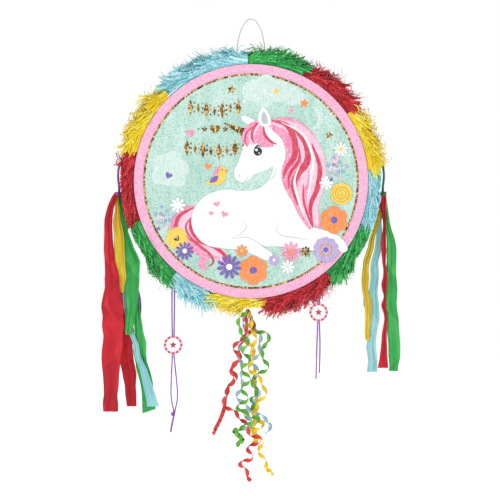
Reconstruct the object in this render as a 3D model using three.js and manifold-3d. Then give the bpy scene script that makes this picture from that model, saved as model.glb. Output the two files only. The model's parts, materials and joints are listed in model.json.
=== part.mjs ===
// A hanging pull-ribbon pinata: a round card drum with a crepe paper fringe, a trap door
// underneath that the ribbons open, two tassels of crepe streamers and two tagged strings.
// Millimetres, +Z up. The decorated face looks towards -Y and the origin is the point
// where the hanging loop rests on its hook. Angles on the drum are in degrees, clockwise
// from the top as seen from the front.
import * as THREE from "three";
import { mergeVertices } from "three/addons/utils/BufferGeometryUtils.js";
import Module from "manifold-3d";

const wasm = await Module();
wasm.setup();

// ---- driving sizes ---------------------------------------------------------

const FACE_RADIUS = 205; // the drum's card face
const DRUM_DEPTH = 76; // over the two panels
const LOOP_HEIGHT = 85; // hook to the top of the rim
const GAP = 0.3; // air between two pieces that touch
const CIRCLE_SIDES = 96;

const PANEL = 3; // corrugated card
const CHIPBOARD = 2; // rim, trap door and pad
const FACE_SHEET = 0.6; // each printed sheet on the front
const PINK_BORDER = 18; // pink left showing around the mint sheet

const FRINGE_HEIGHT = 24; // how far the crepe stands out from the rim
const DOOR_FRINGE_HEIGHT = 17; // the yellow crepe under the trap door is thinner
const FRINGE_STEP = 6; // the tips of one row of tails stand over the next row's root
const FRINGE_ROW = 6.5; // degrees of rim that one row of tails covers
const FRINGE_INSET = 0.5; // the fringe stops short of both panels' faces

const CORD = 2.2; // hanging cord
const HOLE_SPACING = 48; // between the cord's two holes in the rim
const HOLE_RADIUS = 2.6;
const KNOT_RADIUS = 4;
const KNOT_SLACK = 1; // between a knot and the pad it hangs under
const CORD_BREAK = 1.6; // the cord turns at the hole, this far above its fixed stub
const SWING = 35; // degrees the drum swings on its cord, each way
const PAD_WIDTH = 50;
const PAD_SPAN = 12; // degrees of rim the pad covers each side of the top

const DOOR_FREE_END = 174; // degrees
const DOOR_HINGE = 199.1; // degrees
const DOOR_RAIL = 5; // rim left standing in front of the door and behind it
const DOOR_CLEARANCE = 0.8;
const DOOR_OPENS = 70; // degrees
const HINGE_TAPE = 0.4;
const HINGE_TAPE_REACH = 12; // each leaf of the tape, along the rim
const HINGE_SLIT = 0.4; // bare card between the hinge line and either leaf

const RIBBON_COUNT = 8;
const RIBBON_EXIT_X = -6; // where the ribbons leave the door
const RIBBON_EXIT_DROP = 4.3; // the ribbons' swing axis, below the door's fringe
const BUNDLE_THICKNESS = 3;
const BUNDLE_FLANGE = 16; // the ribbons' folded ends, taped flat inside the door
const BUNDLE_EDGE = 5; // door left each side of the bundle

const FLAP_WIDTH = 100;
const FLAP_HEIGHT = 80;
const FLAP_TOP_RISE = 130; // the flap's crease above the drum's centre
const FLAP_CORNER = 15;
const FLAP_KERF = 0.5;

const TASSEL_REACH = 5; // the tassel's tie point, outside the fringe
const TASSEL_DROP = 13; // and below the drum's centre
const TIE = 4; // gathered ribbon that a tassel hangs on
const TIE_ANGLE = 80.3; // where a tie leaves the fringe, each side of the top
const TIE_START = 2.8; // the tie's swing axis, outside the fringe
const STREAMERS_IN_DEPTH = 15; // gathered streamers that would fill the drum's depth
const TAIL_RIBBON = 5;

const STRING = 2.4;
const STRING_SETBACK = 12.5; // from the front panel's face
const STRING_TOP = 2.6; // the string's taped end, outside the rim
const STRING_PASSAGE = 26; // room in the fringe for both strands to swing
const STRINGS_DRAWN_FOR = 205; // the face radius that the strings' places are given for
const TAG_RADIUS = 16.5;
const TAG_PAPER = 0.5;

// ---- sizes that follow from those ------------------------------------------

const CENTRE_Z = -(LOOP_HEIGHT + FACE_RADIUS);
const FRONT = -DRUM_DEPTH / 2;
const BACK = DRUM_DEPTH / 2;
const RIM_INSIDE = FACE_RADIUS - CHIPBOARD;
const RIM_MIDDLE = FACE_RADIUS - CHIPBOARD / 2;
const RIM_HALF_WIDTH = BACK - PANEL - GAP;
const DOOR_HALF_WIDTH = RIM_HALF_WIDTH - DOOR_RAIL;
const TAPE_INSIDE = FACE_RADIUS + GAP;
const TAPE_OUTSIDE = TAPE_INSIDE + HINGE_TAPE;
const HINGE_RADIUS = TAPE_INSIDE + HINGE_TAPE / 2;
const FRINGE_INSIDE = TAPE_OUTSIDE + GAP;
const FRINGE_OUTSIDE = FRINGE_INSIDE + FRINGE_HEIGHT;
const DOOR_FRINGE_OUTSIDE = FRINGE_INSIDE + DOOR_FRINGE_HEIGHT;
const HOLE_Z = surfaceAbove(RIM_MIDDLE, HOLE_SPACING / 2);
const EXIT_Z = surfaceBelow(DOOR_FRINGE_OUTSIDE, RIBBON_EXIT_X) - RIBBON_EXIT_DROP;
const BUNDLE_HALF_WIDTH = DOOR_HALF_WIDTH - BUNDLE_EDGE;
const RIBBON_PITCH = (2 * BUNDLE_HALF_WIDTH) / RIBBON_COUNT;
const RIBBON = RIBBON_PITCH - 0.5;
const TIE_X = FRINGE_OUTSIDE + TASSEL_REACH;
const TIE_Z = CENTRE_Z - TASSEL_DROP;
const LAYER = DRUM_DEPTH / STREAMERS_IN_DEPTH;
const STRING_Y = FRONT + STRING_SETBACK;

// Height of a circle's underside, and of its top, at a distance x from the drum's middle.
function surfaceBelow(radius, x) {
  return CENTRE_Z - Math.sqrt(radius ** 2 - x ** 2);
}

function surfaceAbove(radius, x) {
  return CENTRE_Z + Math.sqrt(radius ** 2 - x ** 2);
}

// ---- colours ----------------------------------------------------------------

const COLOURS = {
  kraft_card: 0xb48a5c,
  chipboard: 0x9d9588,
  pink_card: 0xf4b3d2,
  mint_card: 0xbfe3d4,
  crepe_blue: 0x6ccbd6,
  crepe_green: 0x2fae4e,
  crepe_red: 0xc8202f,
  crepe_yellow: 0xf3d612,
  ribbon_blue: 0xa9dbe2,
  ribbon_green: 0x4f9f3a,
  ribbon_red: 0xd23a33,
  ribbon_yellow: 0xe3b53a,
  ribbon_purple: 0x9b5fa5,
  white_cord: 0xf2f2ee,
  paper_tape: 0xd9c9a3,
  tag_paper: 0xf6e9ee,
};

const part = new THREE.Group();
part.name = "pinata";

function add(name, colour, geometry) {
  const material = new THREE.MeshStandardMaterial({
    color: COLOURS[colour],
    roughness: 0.8,
    metalness: 0,
  });
  const mesh = new THREE.Mesh(geometry, material);
  mesh.name = name;
  part.add(mesh);
}

// ---- shapes -----------------------------------------------------------------

const radians = THREE.MathUtils.degToRad;
const degrees = THREE.MathUtils.radToDeg;

// A point in the drum's front view.
function polar(radius, angle) {
  const turn = radians(angle);
  return new THREE.Vector2(
    radius * Math.sin(turn),
    CENTRE_Z + radius * Math.cos(turn),
  );
}

// Points along an arc of the drum, ends included.
function arc(radius, from, to) {
  const steps = Math.max(1, Math.round((Math.abs(to - from) * CIRCLE_SIDES) / 360));
  return Array.from({ length: steps + 1 }, (_, i) =>
    polar(radius, from + ((to - from) * i) / steps),
  );
}

// A front-view outline given thickness from one y to another.
function slab(outline, yFrom, yTo) {
  const geometry = new THREE.ExtrudeGeometry(outline, {
    depth: yTo - yFrom,
    bevelEnabled: false,
    curveSegments: CIRCLE_SIDES,
  });
  return geometry.rotateX(Math.PI / 2).translate(0, yTo, 0);
}

function disc(radius, yFrom, yTo) {
  const outline = new THREE.Shape().absarc(0, CENTRE_Z, radius, 0, 2 * Math.PI);
  return slab(outline, yFrom, yTo);
}

// A curved plate that follows the rim.
function rimPlate(inside, outside, from, to, halfWidth) {
  const outline = new THREE.Shape([
    ...arc(outside, from, to),
    ...arc(inside, to, from),
  ]);
  return slab(outline, -halfWidth, halfWidth);
}

function box(width, depth, height, x, y, z) {
  return new THREE.BoxGeometry(width, depth, height).translate(x, y, z);
}

// A box whose length stands out from the rim at an angle.
function spoke(thickness, from, to, angle) {
  const middle = polar((from + to) / 2, angle);
  return new THREE.BoxGeometry(thickness, thickness, to - from)
    .rotateY(radians(angle))
    .translate(middle.x, 0, middle.y);
}

function uprightCylinder(radius, x, zFrom, zTo) {
  return new THREE.CylinderGeometry(radius, radius, zTo - zFrom, 16)
    .rotateX(Math.PI / 2)
    .translate(x, 0, (zFrom + zTo) / 2);
}

// A round cord or ribbon through hand-placed points.
function tube(points, diameter, steps, sides = 8) {
  const section = Array.from({ length: sides }, (_, i) => {
    const turn = (2 * Math.PI * i) / sides;
    const radius = diameter / 2;
    return new THREE.Vector2(radius * Math.cos(turn), radius * Math.sin(turn));
  });
  return new THREE.ExtrudeGeometry(new THREE.Shape(section), {
    steps,
    bevelEnabled: false,
    extrudePath: new THREE.CatmullRomCurve3(points),
  });
}

function toSolid(geometry) {
  const bare = geometry.clone();
  bare.deleteAttribute("normal");
  bare.deleteAttribute("uv");
  const merged = mergeVertices(bare, 1e-4);
  return new wasm.Manifold(
    new wasm.Mesh({
      numProp: 3,
      vertProperties: merged.attributes.position.array,
      triVerts: new Uint32Array(merged.index.array),
    }),
  );
}

function toGeometry(solid) {
  const mesh = solid.getMesh();
  const geometry = new THREE.BufferGeometry();
  const positions = new THREE.BufferAttribute(mesh.vertProperties, 3);
  geometry.setAttribute("position", positions);
  geometry.setIndex(new THREE.BufferAttribute(mesh.triVerts, 1));
  return geometry;
}

function cut(geometry, tools) {
  const solid = tools.reduce((left, tool) => left.subtract(toSolid(tool)), toSolid(geometry));
  return toGeometry(solid);
}

function join(first, second) {
  return toGeometry(toSolid(first).add(toSolid(second)));
}

// ---- openings cut through the rim and the fringe -----------------------------

function cordHoles() {
  const reach = 20;
  return [-1, 1].map((side) =>
    uprightCylinder(
      HOLE_RADIUS,
      (side * HOLE_SPACING) / 2,
      HOLE_Z - reach,
      HOLE_Z + reach,
    ),
  );
}

// Room in the fringe for the cord's legs as the drum swings: a notch that opens upwards.
function cordNotches() {
  const width = 8;
  const height = 2 * FRINGE_HEIGHT;
  const foot = HOLE_RADIUS + 1;
  const mouth = foot + height * Math.tan(radians(SWING + 3));
  const outline = new THREE.Shape([
    new THREE.Vector2(-foot, 0),
    new THREE.Vector2(foot, 0),
    new THREE.Vector2(mouth, height),
    new THREE.Vector2(-mouth, height),
  ]);
  return [-1, 1].map((side) =>
    new THREE.ExtrudeGeometry(outline, { depth: width, bevelEnabled: false })
      .rotateX(Math.PI / 2)
      .rotateZ(Math.PI / 2)
      .translate((side * HOLE_SPACING - width) / 2, 0, HOLE_Z),
  );
}

// The rest of the crepe gives way at the door's hinge line: a notch as wide as the swing.
function hingeNotch() {
  const halfAngle = DOOR_OPENS / 2 + 2;
  const reach = 3 * FRINGE_HEIGHT;
  const apex = polar(HINGE_RADIUS - 1, DOOR_HINGE);
  const ray = (turn) =>
    new THREE.Vector2(
      apex.x + reach * Math.sin(radians(DOOR_HINGE + turn)),
      apex.y + reach * Math.cos(radians(DOOR_HINGE + turn)),
    );
  const outline = new THREE.Shape([apex, ray(-halfAngle), ray(halfAngle)]);
  return slab(outline, -DRUM_DEPTH, DRUM_DEPTH);
}

function doorOpening() {
  const clearance = degrees(DOOR_CLEARANCE / RIM_MIDDLE);
  const slit = degrees(HINGE_SLIT / RIM_MIDDLE);
  return rimPlate(
    RIM_INSIDE - CHIPBOARD,
    FACE_RADIUS + CHIPBOARD,
    DOOR_FREE_END - clearance,
    DOOR_HINGE + slit,
    DOOR_HALF_WIDTH + DOOR_CLEARANCE,
  );
}

function bundleSlot() {
  const height = 3 * FRINGE_HEIGHT;
  return box(
    BUNDLE_THICKNESS + 2 * FLAP_KERF,
    2 * (BUNDLE_HALF_WIDTH + FLAP_KERF),
    height,
    RIBBON_EXIT_X,
    0,
    surfaceBelow(FACE_RADIUS, RIBBON_EXIT_X),
  );
}

// ---- the drum ----------------------------------------------------------------

function flapOutline(grow) {
  const half = FLAP_WIDTH / 2 + grow;
  const top = CENTRE_Z + FLAP_TOP_RISE + grow;
  const bottom = CENTRE_Z + FLAP_TOP_RISE - FLAP_HEIGHT - grow;
  const corner = FLAP_CORNER;
  return new THREE.Shape()
    .moveTo(-half, top)
    .lineTo(-half, bottom + corner)
    .absarc(-half + corner, bottom + corner, corner, Math.PI, 1.5 * Math.PI)
    .lineTo(half - corner, bottom)
    .absarc(half - corner, bottom + corner, corner, 1.5 * Math.PI, 2 * Math.PI)
    .lineTo(half, top);
}

// A fill flap's outline as a plate, with its round corners in a few flats.
function flapPlate(grow, yFrom, yTo) {
  const outline = new THREE.Shape(flapOutline(grow).getPoints(5));
  return slab(outline, yFrom, yTo);
}

function addDrum() {
  add("front_panel", "kraft_card", disc(FACE_RADIUS, FRONT, FRONT + PANEL));
  const backPanel = disc(FACE_RADIUS, BACK - PANEL, BACK);
  add("back_panel", "kraft_card", cut(backPanel, [flapPlate(FLAP_KERF, 0, 2 * BACK)]));
  add("fill_flap", "kraft_card", flapPlate(0, BACK - PANEL, BACK));

  const pinkBack = FRONT - GAP;
  const mintBack = pinkBack - FACE_SHEET - GAP;
  add("pink_face_sheet", "pink_card", disc(FACE_RADIUS, pinkBack - FACE_SHEET, pinkBack));
  add(
    "mint_face_sheet",
    "mint_card",
    disc(FACE_RADIUS - PINK_BORDER, mintBack - FACE_SHEET, mintBack),
  );

  const hoop = new THREE.Shape().absarc(0, CENTRE_Z, FACE_RADIUS, 0, 2 * Math.PI);
  hoop.holes.push(new THREE.Path().absarc(0, CENTRE_Z, RIM_INSIDE, 0, 2 * Math.PI));
  const band = slab(hoop, -RIM_HALF_WIDTH, RIM_HALF_WIDTH);
  add("rim_band", "chipboard", cut(band, [doorOpening(), ...cordHoles()]));

  const padOutside = RIM_INSIDE - GAP;
  const pad = rimPlate(
    padOutside - CHIPBOARD,
    padOutside,
    -PAD_SPAN,
    PAD_SPAN,
    PAD_WIDTH / 2,
  );
  add("cord_pad", "chipboard", cut(pad, cordHoles()));
}

// ---- the hanging loop ---------------------------------------------------------

function addHangingLoop() {
  const half = HOLE_SPACING / 2;
  const rise = CORD / 2 - HOLE_Z;
  // Each point is a share of half the hole spacing, and a share of the loop's rise.
  const rightHalf = [
    [0.42, 0.94],
    [0.84, 0.7],
    [1.04, 0.37],
    [1.02, 0.15],
    [1, 0],
  ];
  const right = rightHalf.map(
    ([across, up]) => new THREE.Vector3(across * half, 0, HOLE_Z + up * rise),
  );
  const left = right.map((point) => new THREE.Vector3(-point.x, 0, point.z)).reverse();
  const top = new THREE.Vector3(0, 0, CORD / 2);
  add("hanging_cord", "white_cord", tube([...left, top, ...right], CORD, 28));

  // A knot inside the drum, with the stub of cord that comes down through the pad.
  const padUnderside = surfaceAbove(RIM_INSIDE - GAP - CHIPBOARD, half);
  const ballZ = padUnderside - KNOT_RADIUS - KNOT_SLACK;
  const stubTop = HOLE_Z - CORD_BREAK;
  for (const [name, side] of [["knot_left", -1], ["knot_right", 1]]) {
    const ball = new THREE.SphereGeometry(KNOT_RADIUS, 12, 8).translate(side * half, 0, ballZ);
    const stub = uprightCylinder(CORD / 2, side * half, ballZ, stubTop);
    add(name, "white_cord", join(ball, stub));
  }
}

// ---- the crepe fringe ----------------------------------------------------------

// Start and end of each colour around the rim.
const FRINGE = [
  ["fringe_01_green", "crepe_green", -1.4, 25.8],
  ["fringe_02_red", "crepe_red", 25.8, 54.9],
  ["fringe_03_yellow", "crepe_yellow", 54.9, 84.6],
  ["fringe_04_blue", "crepe_blue", 84.6, 111.3],
  ["fringe_05_green", "crepe_green", 111.3, 140.2],
  ["fringe_06_red", "crepe_red", 140.2, 172.5],
  ["fringe_07_yellow", "crepe_yellow", 172.5, DOOR_HINGE],
  ["fringe_08_blue", "crepe_blue", DOOR_HINGE, 219.5],
  ["fringe_09_green", "crepe_green", 219.5, 250.8],
  ["fringe_10_red", "crepe_red", 250.8, 284.1],
  ["fringe_11_yellow", "crepe_yellow", 284.1, 316.8],
  ["fringe_12_blue", "crepe_blue", 316.8, 358.6],
];

// Rows of cut crepe overlap like shingles, and their tips point down both sides of the drum.
function fringeOutline(from, to, outside) {
  const rows = Math.round((to - from) / FRINGE_ROW);
  const row = (to - from) / rows;
  const tipsForward = (from + to) / 2 < 180;
  const rim = [];
  for (let i = 0; i < rows; i += 1) {
    const start = from + i * row;
    const root = outside - FRINGE_STEP;
    rim.push(polar(tipsForward ? root : outside, start));
    rim.push(polar(tipsForward ? outside : root, start + row));
  }
  return new THREE.Shape([...rim, ...arc(FRINGE_INSIDE, to, from)]);
}

function addFringe() {
  const halfWidth = BACK - FRINGE_INSET;
  const gap = degrees(GAP / FRINGE_INSIDE);
  const openings = [
    ...cordNotches(),
    hingeNotch(),
    bundleSlot(),
    tiePassage(-1),
    tiePassage(1),
    ...Object.values(STRINGS).map(stringPassage),
  ];
  for (const [name, colour, from, to] of FRINGE) {
    const onDoor = to === DOOR_HINGE;
    const outside = onDoor ? DOOR_FRINGE_OUTSIDE : FRINGE_OUTSIDE;
    const outline = fringeOutline(from + gap, to - gap, outside);
    add(name, colour, cut(slab(outline, -halfWidth, halfWidth), openings));
  }
}

// ---- the trap door ---------------------------------------------------------------

function addTrapDoor() {
  const clearance = degrees(DOOR_CLEARANCE / RIM_MIDDLE);
  const slit = degrees(HINGE_SLIT / RIM_MIDDLE);
  const reach = degrees(HINGE_TAPE_REACH / HINGE_RADIUS);
  const door = rimPlate(
    RIM_INSIDE,
    FACE_RADIUS,
    DOOR_FREE_END + clearance,
    DOOR_HINGE - slit,
    DOOR_HALF_WIDTH,
  );
  add("trap_door", "chipboard", cut(door, [bundleSlot()]));

  const leaf = (from, to) =>
    rimPlate(TAPE_INSIDE, TAPE_OUTSIDE, from, to, DOOR_HALF_WIDTH);
  const doorLeaf = leaf(DOOR_HINGE - slit - reach, DOOR_HINGE - slit);
  const rimLeaf = leaf(DOOR_HINGE + slit, DOOR_HINGE + slit + reach);
  add("hinge_tape_door_leaf", "paper_tape", doorLeaf);
  add("hinge_tape_rim_leaf", "paper_tape", rimLeaf);

  // The ribbons' upper ends: folded flat inside, and through the slot in one bundle.
  const foldReach = Math.abs(RIBBON_EXIT_X) + BUNDLE_FLANGE / 2;
  const foldZ = surfaceBelow(RIM_INSIDE - GAP, foldReach);
  const fold = box(
    BUNDLE_FLANGE,
    2 * BUNDLE_HALF_WIDTH,
    CHIPBOARD,
    RIBBON_EXIT_X,
    0,
    foldZ + CHIPBOARD / 2,
  );
  const stemEnd = EXIT_Z + RIBBON / 2 + GAP;
  const stemTop = foldZ + CHIPBOARD / 2;
  const stem = box(
    BUNDLE_THICKNESS,
    2 * BUNDLE_HALF_WIDTH,
    stemTop - stemEnd,
    RIBBON_EXIT_X,
    0,
    (stemTop + stemEnd) / 2,
  );
  add("ribbon_bundle", "ribbon_purple", join(fold, stem));
}

// ---- the pull ribbons --------------------------------------------------------------

// Each point is a distance to the right of the exit, and a drop below it. The list runs
// from the front ribbon to the back one.
const RIBBONS = [
  {
    name: "pull_ribbon_green_front",
    colour: "ribbon_green",
    steps: 36,
    route: [
      [0, 0], [-18, 25], [-1, 52], [-8, 68], [2, 84], [-8, 101], [1, 121], [-8, 138],
      [-3, 157], [-17, 174], [2, 184], [18, 191], [0, 203], [-22, 213], [-10, 227], [-20, 239],
    ],
  },
  {
    name: "pull_ribbon_red_long",
    colour: "ribbon_red",
    steps: 44,
    route: [
      [0, 0], [-4, 28], [-1, 43], [-18, 54], [-22, 66], [-17, 78], [-22, 92], [-29, 112],
      [-27, 131], [-42, 154], [-35, 173], [-18, 185], [-6, 197], [2, 215], [20, 229],
      [2, 246], [5, 262], [-13, 274], [0, 288], [4, 303],
    ],
  },
  {
    name: "pull_ribbon_yellow_long",
    colour: "ribbon_yellow",
    steps: 38,
    route: [
      [0, 0], [5, 16], [12, 47], [9, 75], [5, 103], [14, 116], [26, 127], [30, 146],
      [20, 168], [10, 186], [26, 201], [12, 216], [24, 232], [22, 250], [31, 272], [43, 294],
    ],
  },
  {
    name: "pull_ribbon_blue_left",
    colour: "ribbon_blue",
    steps: 32,
    route: [
      [0, 0], [-6, 18], [-3, 38], [-8, 58], [-20, 74], [-10, 89], [-13, 104], [-8, 126],
      [-17, 150], [-6, 170], [12, 183], [28, 192], [42, 204], [30, 218],
    ],
  },
  {
    name: "pull_ribbon_red_curl",
    colour: "ribbon_red",
    steps: 32,
    route: [
      [0, 0], [8, 20], [10, 33], [-1, 47], [-14, 61], [-12, 80], [-24, 100], [-22, 120],
      [-34, 140], [-46, 156], [-36, 176], [-46, 198], [-60, 221],
    ],
  },
  {
    name: "pull_ribbon_green_back",
    colour: "ribbon_green",
    steps: 34,
    route: [
      [0, 0], [4, 10], [12, 34], [33, 45], [39, 58], [24, 70], [30, 86], [34, 103],
      [23, 115], [5, 127], [18, 143], [6, 158], [13, 172], [-11, 183],
    ],
  },
  {
    name: "pull_ribbon_blue_right",
    colour: "ribbon_blue",
    steps: 30,
    route: [
      [0, 0], [5, 16], [12, 36], [24, 54], [21, 73], [12, 92], [16, 112], [10, 134],
      [20, 152], [10, 170], [-4, 185], [4, 202], [-6, 218],
    ],
  },
  {
    name: "pull_ribbon_yellow_back",
    colour: "ribbon_yellow",
    steps: 30,
    route: [
      [0, 0], [-4, 16], [3, 36], [-6, 56], [4, 76], [-4, 96], [5, 116], [-4, 138],
      [8, 158], [-2, 178], [10, 196], [0, 214], [12, 232], [2, 248],
    ],
  },
];

function addPullRibbons() {
  RIBBONS.forEach(({ name, colour, steps, route }, i) => {
    const y = (i - (RIBBON_COUNT - 1) / 2) * RIBBON_PITCH;
    const points = route.map(
      ([right, drop]) => new THREE.Vector3(RIBBON_EXIT_X + right, y, EXIT_Z - drop),
    );
    add(name, colour, tube(points, RIBBON, steps));
  });
}

// ---- the streamer tassels --------------------------------------------------------------

// Each station is a distance outwards from the tie point, a drop below it and a width.
// Each list runs from the front streamer to the back one.
const TASSELS = {
  left: {
    side: -1,
    tieColour: "ribbon_purple",
    streamers: [
      ["red_front", "crepe_red",
        [[2, 5, 7], [7, 14, 10], [15, 40, 13], [17, 90, 15], [12, 165, 28], [8, 226, 38],
          [12, 310, 31], [15, 394, 25]]],
      ["yellow", "crepe_yellow",
        [[1, 6, 7], [4, 24, 7], [-2, 118, 21], [-4, 183, 9]]],
      ["green_short", "crepe_green",
        [[1, 6, 7], [-3, 30, 10], [-17, 71, 20], [-23, 134, 30], [-21, 195, 24], [-16, 258, 10]]],
      ["blue", "crepe_blue",
        [[2, 6, 6], [-5, 100, 8], [-12, 212, 8], [-30, 282, 10], [-55, 370, 20], [-60, 387, 22]]],
      ["green_long", "crepe_green",
        [[0, 6, 6], [-15, 100, 10], [-31, 195, 9], [-37, 289, 23], [-48, 352, 21], [-52, 396, 22]]],
      ["red_back", "crepe_red",
        [[0, 6, 8], [-3, 80, 12], [-8, 195, 20], [-12, 289, 26], [-19, 388, 17]]],
    ],
    tail: [[0, 6], [-6, 57], [-18, 127], [-34, 189], [-35, 243]],
  },
  right: {
    side: 1,
    tieColour: "ribbon_green",
    streamers: [
      ["dark_red", "crepe_red",
        [[-2, 6, 8], [1, 100, 9], [1, 193, 9], [1, 217, 11], [0, 317, 18]]],
      ["green", "crepe_green",
        [[1, 6, 8], [3, 20, 8], [9, 61, 10], [16, 102, 16], [16, 195, 20], [19, 258, 23],
          [18, 323, 17]]],
      ["yellow", "crepe_yellow",
        [[0, 6, 7], [-6, 37, 8], [-16, 69, 8], [-23, 102, 10], [-29, 165, 13], [-26, 268, 8]]],
      ["blue", "crepe_blue",
        [[-1, 6, 7], [-12, 134, 14], [-16, 226, 18], [-20, 326, 18]]],
    ],
    tail: [[0, 6], [-8, 45], [-18, 85], [-28, 130], [-32, 210]],
  },
};

// How far out a hanging piece must stay to swing past the drum's fringe, at this drop.
function clearOfDrum(drop) {
  const sweep = (DRUM_DEPTH / 2) ** 2 / 2;
  const below = Math.max(0, TASSEL_DROP + drop - sweep / drop);
  const radius = FRINGE_OUTSIDE + 1;
  return below < radius ? Math.sqrt(radius ** 2 - below ** 2) : 0;
}

function tasselX(side, outward, drop, width) {
  return side * Math.max(TIE_X + outward, clearOfDrum(drop) + width / 2);
}

function streamer(side, stations, yFrom, yTo) {
  const edge = (towards) => {
    const points = stations.map(([outward, drop, width]) => {
      const x = tasselX(side, outward, drop, width) + (towards * width) / 2;
      return new THREE.Vector2(x, TIE_Z - drop);
    });
    return new THREE.SplineCurve(points).getPoints(12);
  };
  const outline = new THREE.Shape([...edge(-1), ...edge(1).reverse()]);
  return slab(outline, yFrom, yTo);
}

function tiePassage(side) {
  return spoke(TIE + 2, FACE_RADIUS, FRINGE_OUTSIDE + TIE, side * TIE_ANGLE);
}

function addTassel(label, { side, tieColour, streamers, tail }) {
  const anchorEnd = FRINGE_OUTSIDE - GAP;
  const anchor = spoke(TIE, TAPE_INSIDE, anchorEnd, side * TIE_ANGLE);
  add(`${label}_tie_anchor`, tieColour, anchor);

  const start = polar(FRINGE_OUTSIDE + TIE_START, side * TIE_ANGLE);
  const tie = [
    new THREE.Vector3(start.x, 0, start.y),
    new THREE.Vector3(start.x + side * 5, 0, start.y - 8),
    new THREE.Vector3(side * (TIE_X + 2), 0, (start.y + TIE_Z) / 2),
    new THREE.Vector3(side * TIE_X, 0, TIE_Z + 2),
  ];
  add(`${label}_tie_ribbon`, tieColour, tube(tie, TIE, 8));

  streamers.forEach(([name, colour, stations], i) => {
    const y = (i - (streamers.length - 1) / 2) * LAYER;
    const half = (LAYER - 1) / 2;
    add(`${label}_streamer_${name}`, colour, streamer(side, stations, y - half, y + half));
  });

  const tailY = (streamers.length / 2) * LAYER + TAIL_RIBBON / 2 + 1;
  const points = tail.map(([outward, drop]) => {
    const x = tasselX(side, outward, drop, TAIL_RIBBON);
    return new THREE.Vector3(x, tailY, TIE_Z - drop);
  });
  add(`${label}_tail_ribbon`, "ribbon_purple", tube(points, TAIL_RIBBON, 14));
}

// ---- the tagged strings ------------------------------------------------------------------

// A strand's points: to the right of the string's top, behind it and below it.
const STRINGS = {
  left: {
    x: -137,
    tagDrop: 131.5,
    strands: [
      [[-1.8, 0, 0], [-2.2, 0, 60], [-1.6, 0, 112], [-1.6, 0, 150], [-3.9, 0, 217],
        [0.8, 0, 250], [-2, 0, 268], [-5, 0, 285]],
      [[1.8, 0, 0], [2.2, 0, 60], [1.6, 0, 112], [1.6, 0, 150], [7.5, 1, 217],
        [3, 3, 248], [-1, 3, 268], [-4.4, 3, 286]],
    ],
  },
  right: {
    x: 119,
    tagDrop: 60,
    strands: [
      [[-1.8, 0, 0], [-1.6, 0, 40], [-1.6, 0, 80], [-3, 0, 120], [-4.4, 0, 177]],
      [[1.8, 0, 0], [1.6, 0, 40], [1.6, 0, 80], [2.5, 0, 120], [1.4, 0, 167]],
    ],
  },
};

// A string keeps its place around the rim when the drum is made wider.
function stringX({ x }) {
  return (x * FACE_RADIUS) / STRINGS_DRAWN_FOR;
}

function stringTopZ(string) {
  return surfaceBelow(FACE_RADIUS + STRING_TOP, stringX(string));
}

function stringPassage(string) {
  const height = 3 * FRINGE_HEIGHT;
  const z = stringTopZ(string) + 2 * STRING_TOP - height / 2;
  return box(STRING_PASSAGE, 3 * STRING, height, stringX(string), STRING_Y, z);
}

function addPullString(label, string) {
  const x = stringX(string);
  const top = stringTopZ(string);
  string.strands.forEach((strand, i) => {
    const points = strand.map(
      ([right, behind, drop]) => new THREE.Vector3(x + right, STRING_Y + behind, top - drop),
    );
    add(`${label}_string_${i + 1}`, "ribbon_purple", tube(points, STRING, 22));
  });
  const offset = STRING / 2 + GAP + TAG_PAPER / 2;
  for (const [face, towards] of [["front", -1], ["back", 1]]) {
    const tag = new THREE.CylinderGeometry(TAG_RADIUS, TAG_RADIUS, TAG_PAPER, 32);
    tag.translate(x, STRING_Y + towards * offset, top - string.tagDrop);
    add(`${label}_tag_${face}`, "tag_paper", tag);
  }
}

// ---- assembly ------------------------------------------------------------------------------

addHangingLoop();
addDrum();
addFringe();
addTrapDoor();
addPullRibbons();
Object.entries(TASSELS).forEach(([label, tassel]) => addTassel(label, tassel));
Object.entries(STRINGS).forEach(([label, string]) => addPullString(label, string));

export default part;
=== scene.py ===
"""The looks of a hanging pull-ribbon pinata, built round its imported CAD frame.

Metres, +Z up. The decorated face looks towards -Y and the hanging loop's top is the
origin. Angles round the drum are in degrees, clockwise from the top as seen from the
front. Sizes that are easier to read in millimetres are written as a number times MM.
"""

import json
import logging
import math
from collections.abc import Callable, Iterable, Sequence
from dataclasses import dataclass, field
from enum import Enum
from functools import cache

import bmesh
import bpy
import numpy as np
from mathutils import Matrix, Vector
from mathutils.geometry import tessellate_polygon

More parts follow.
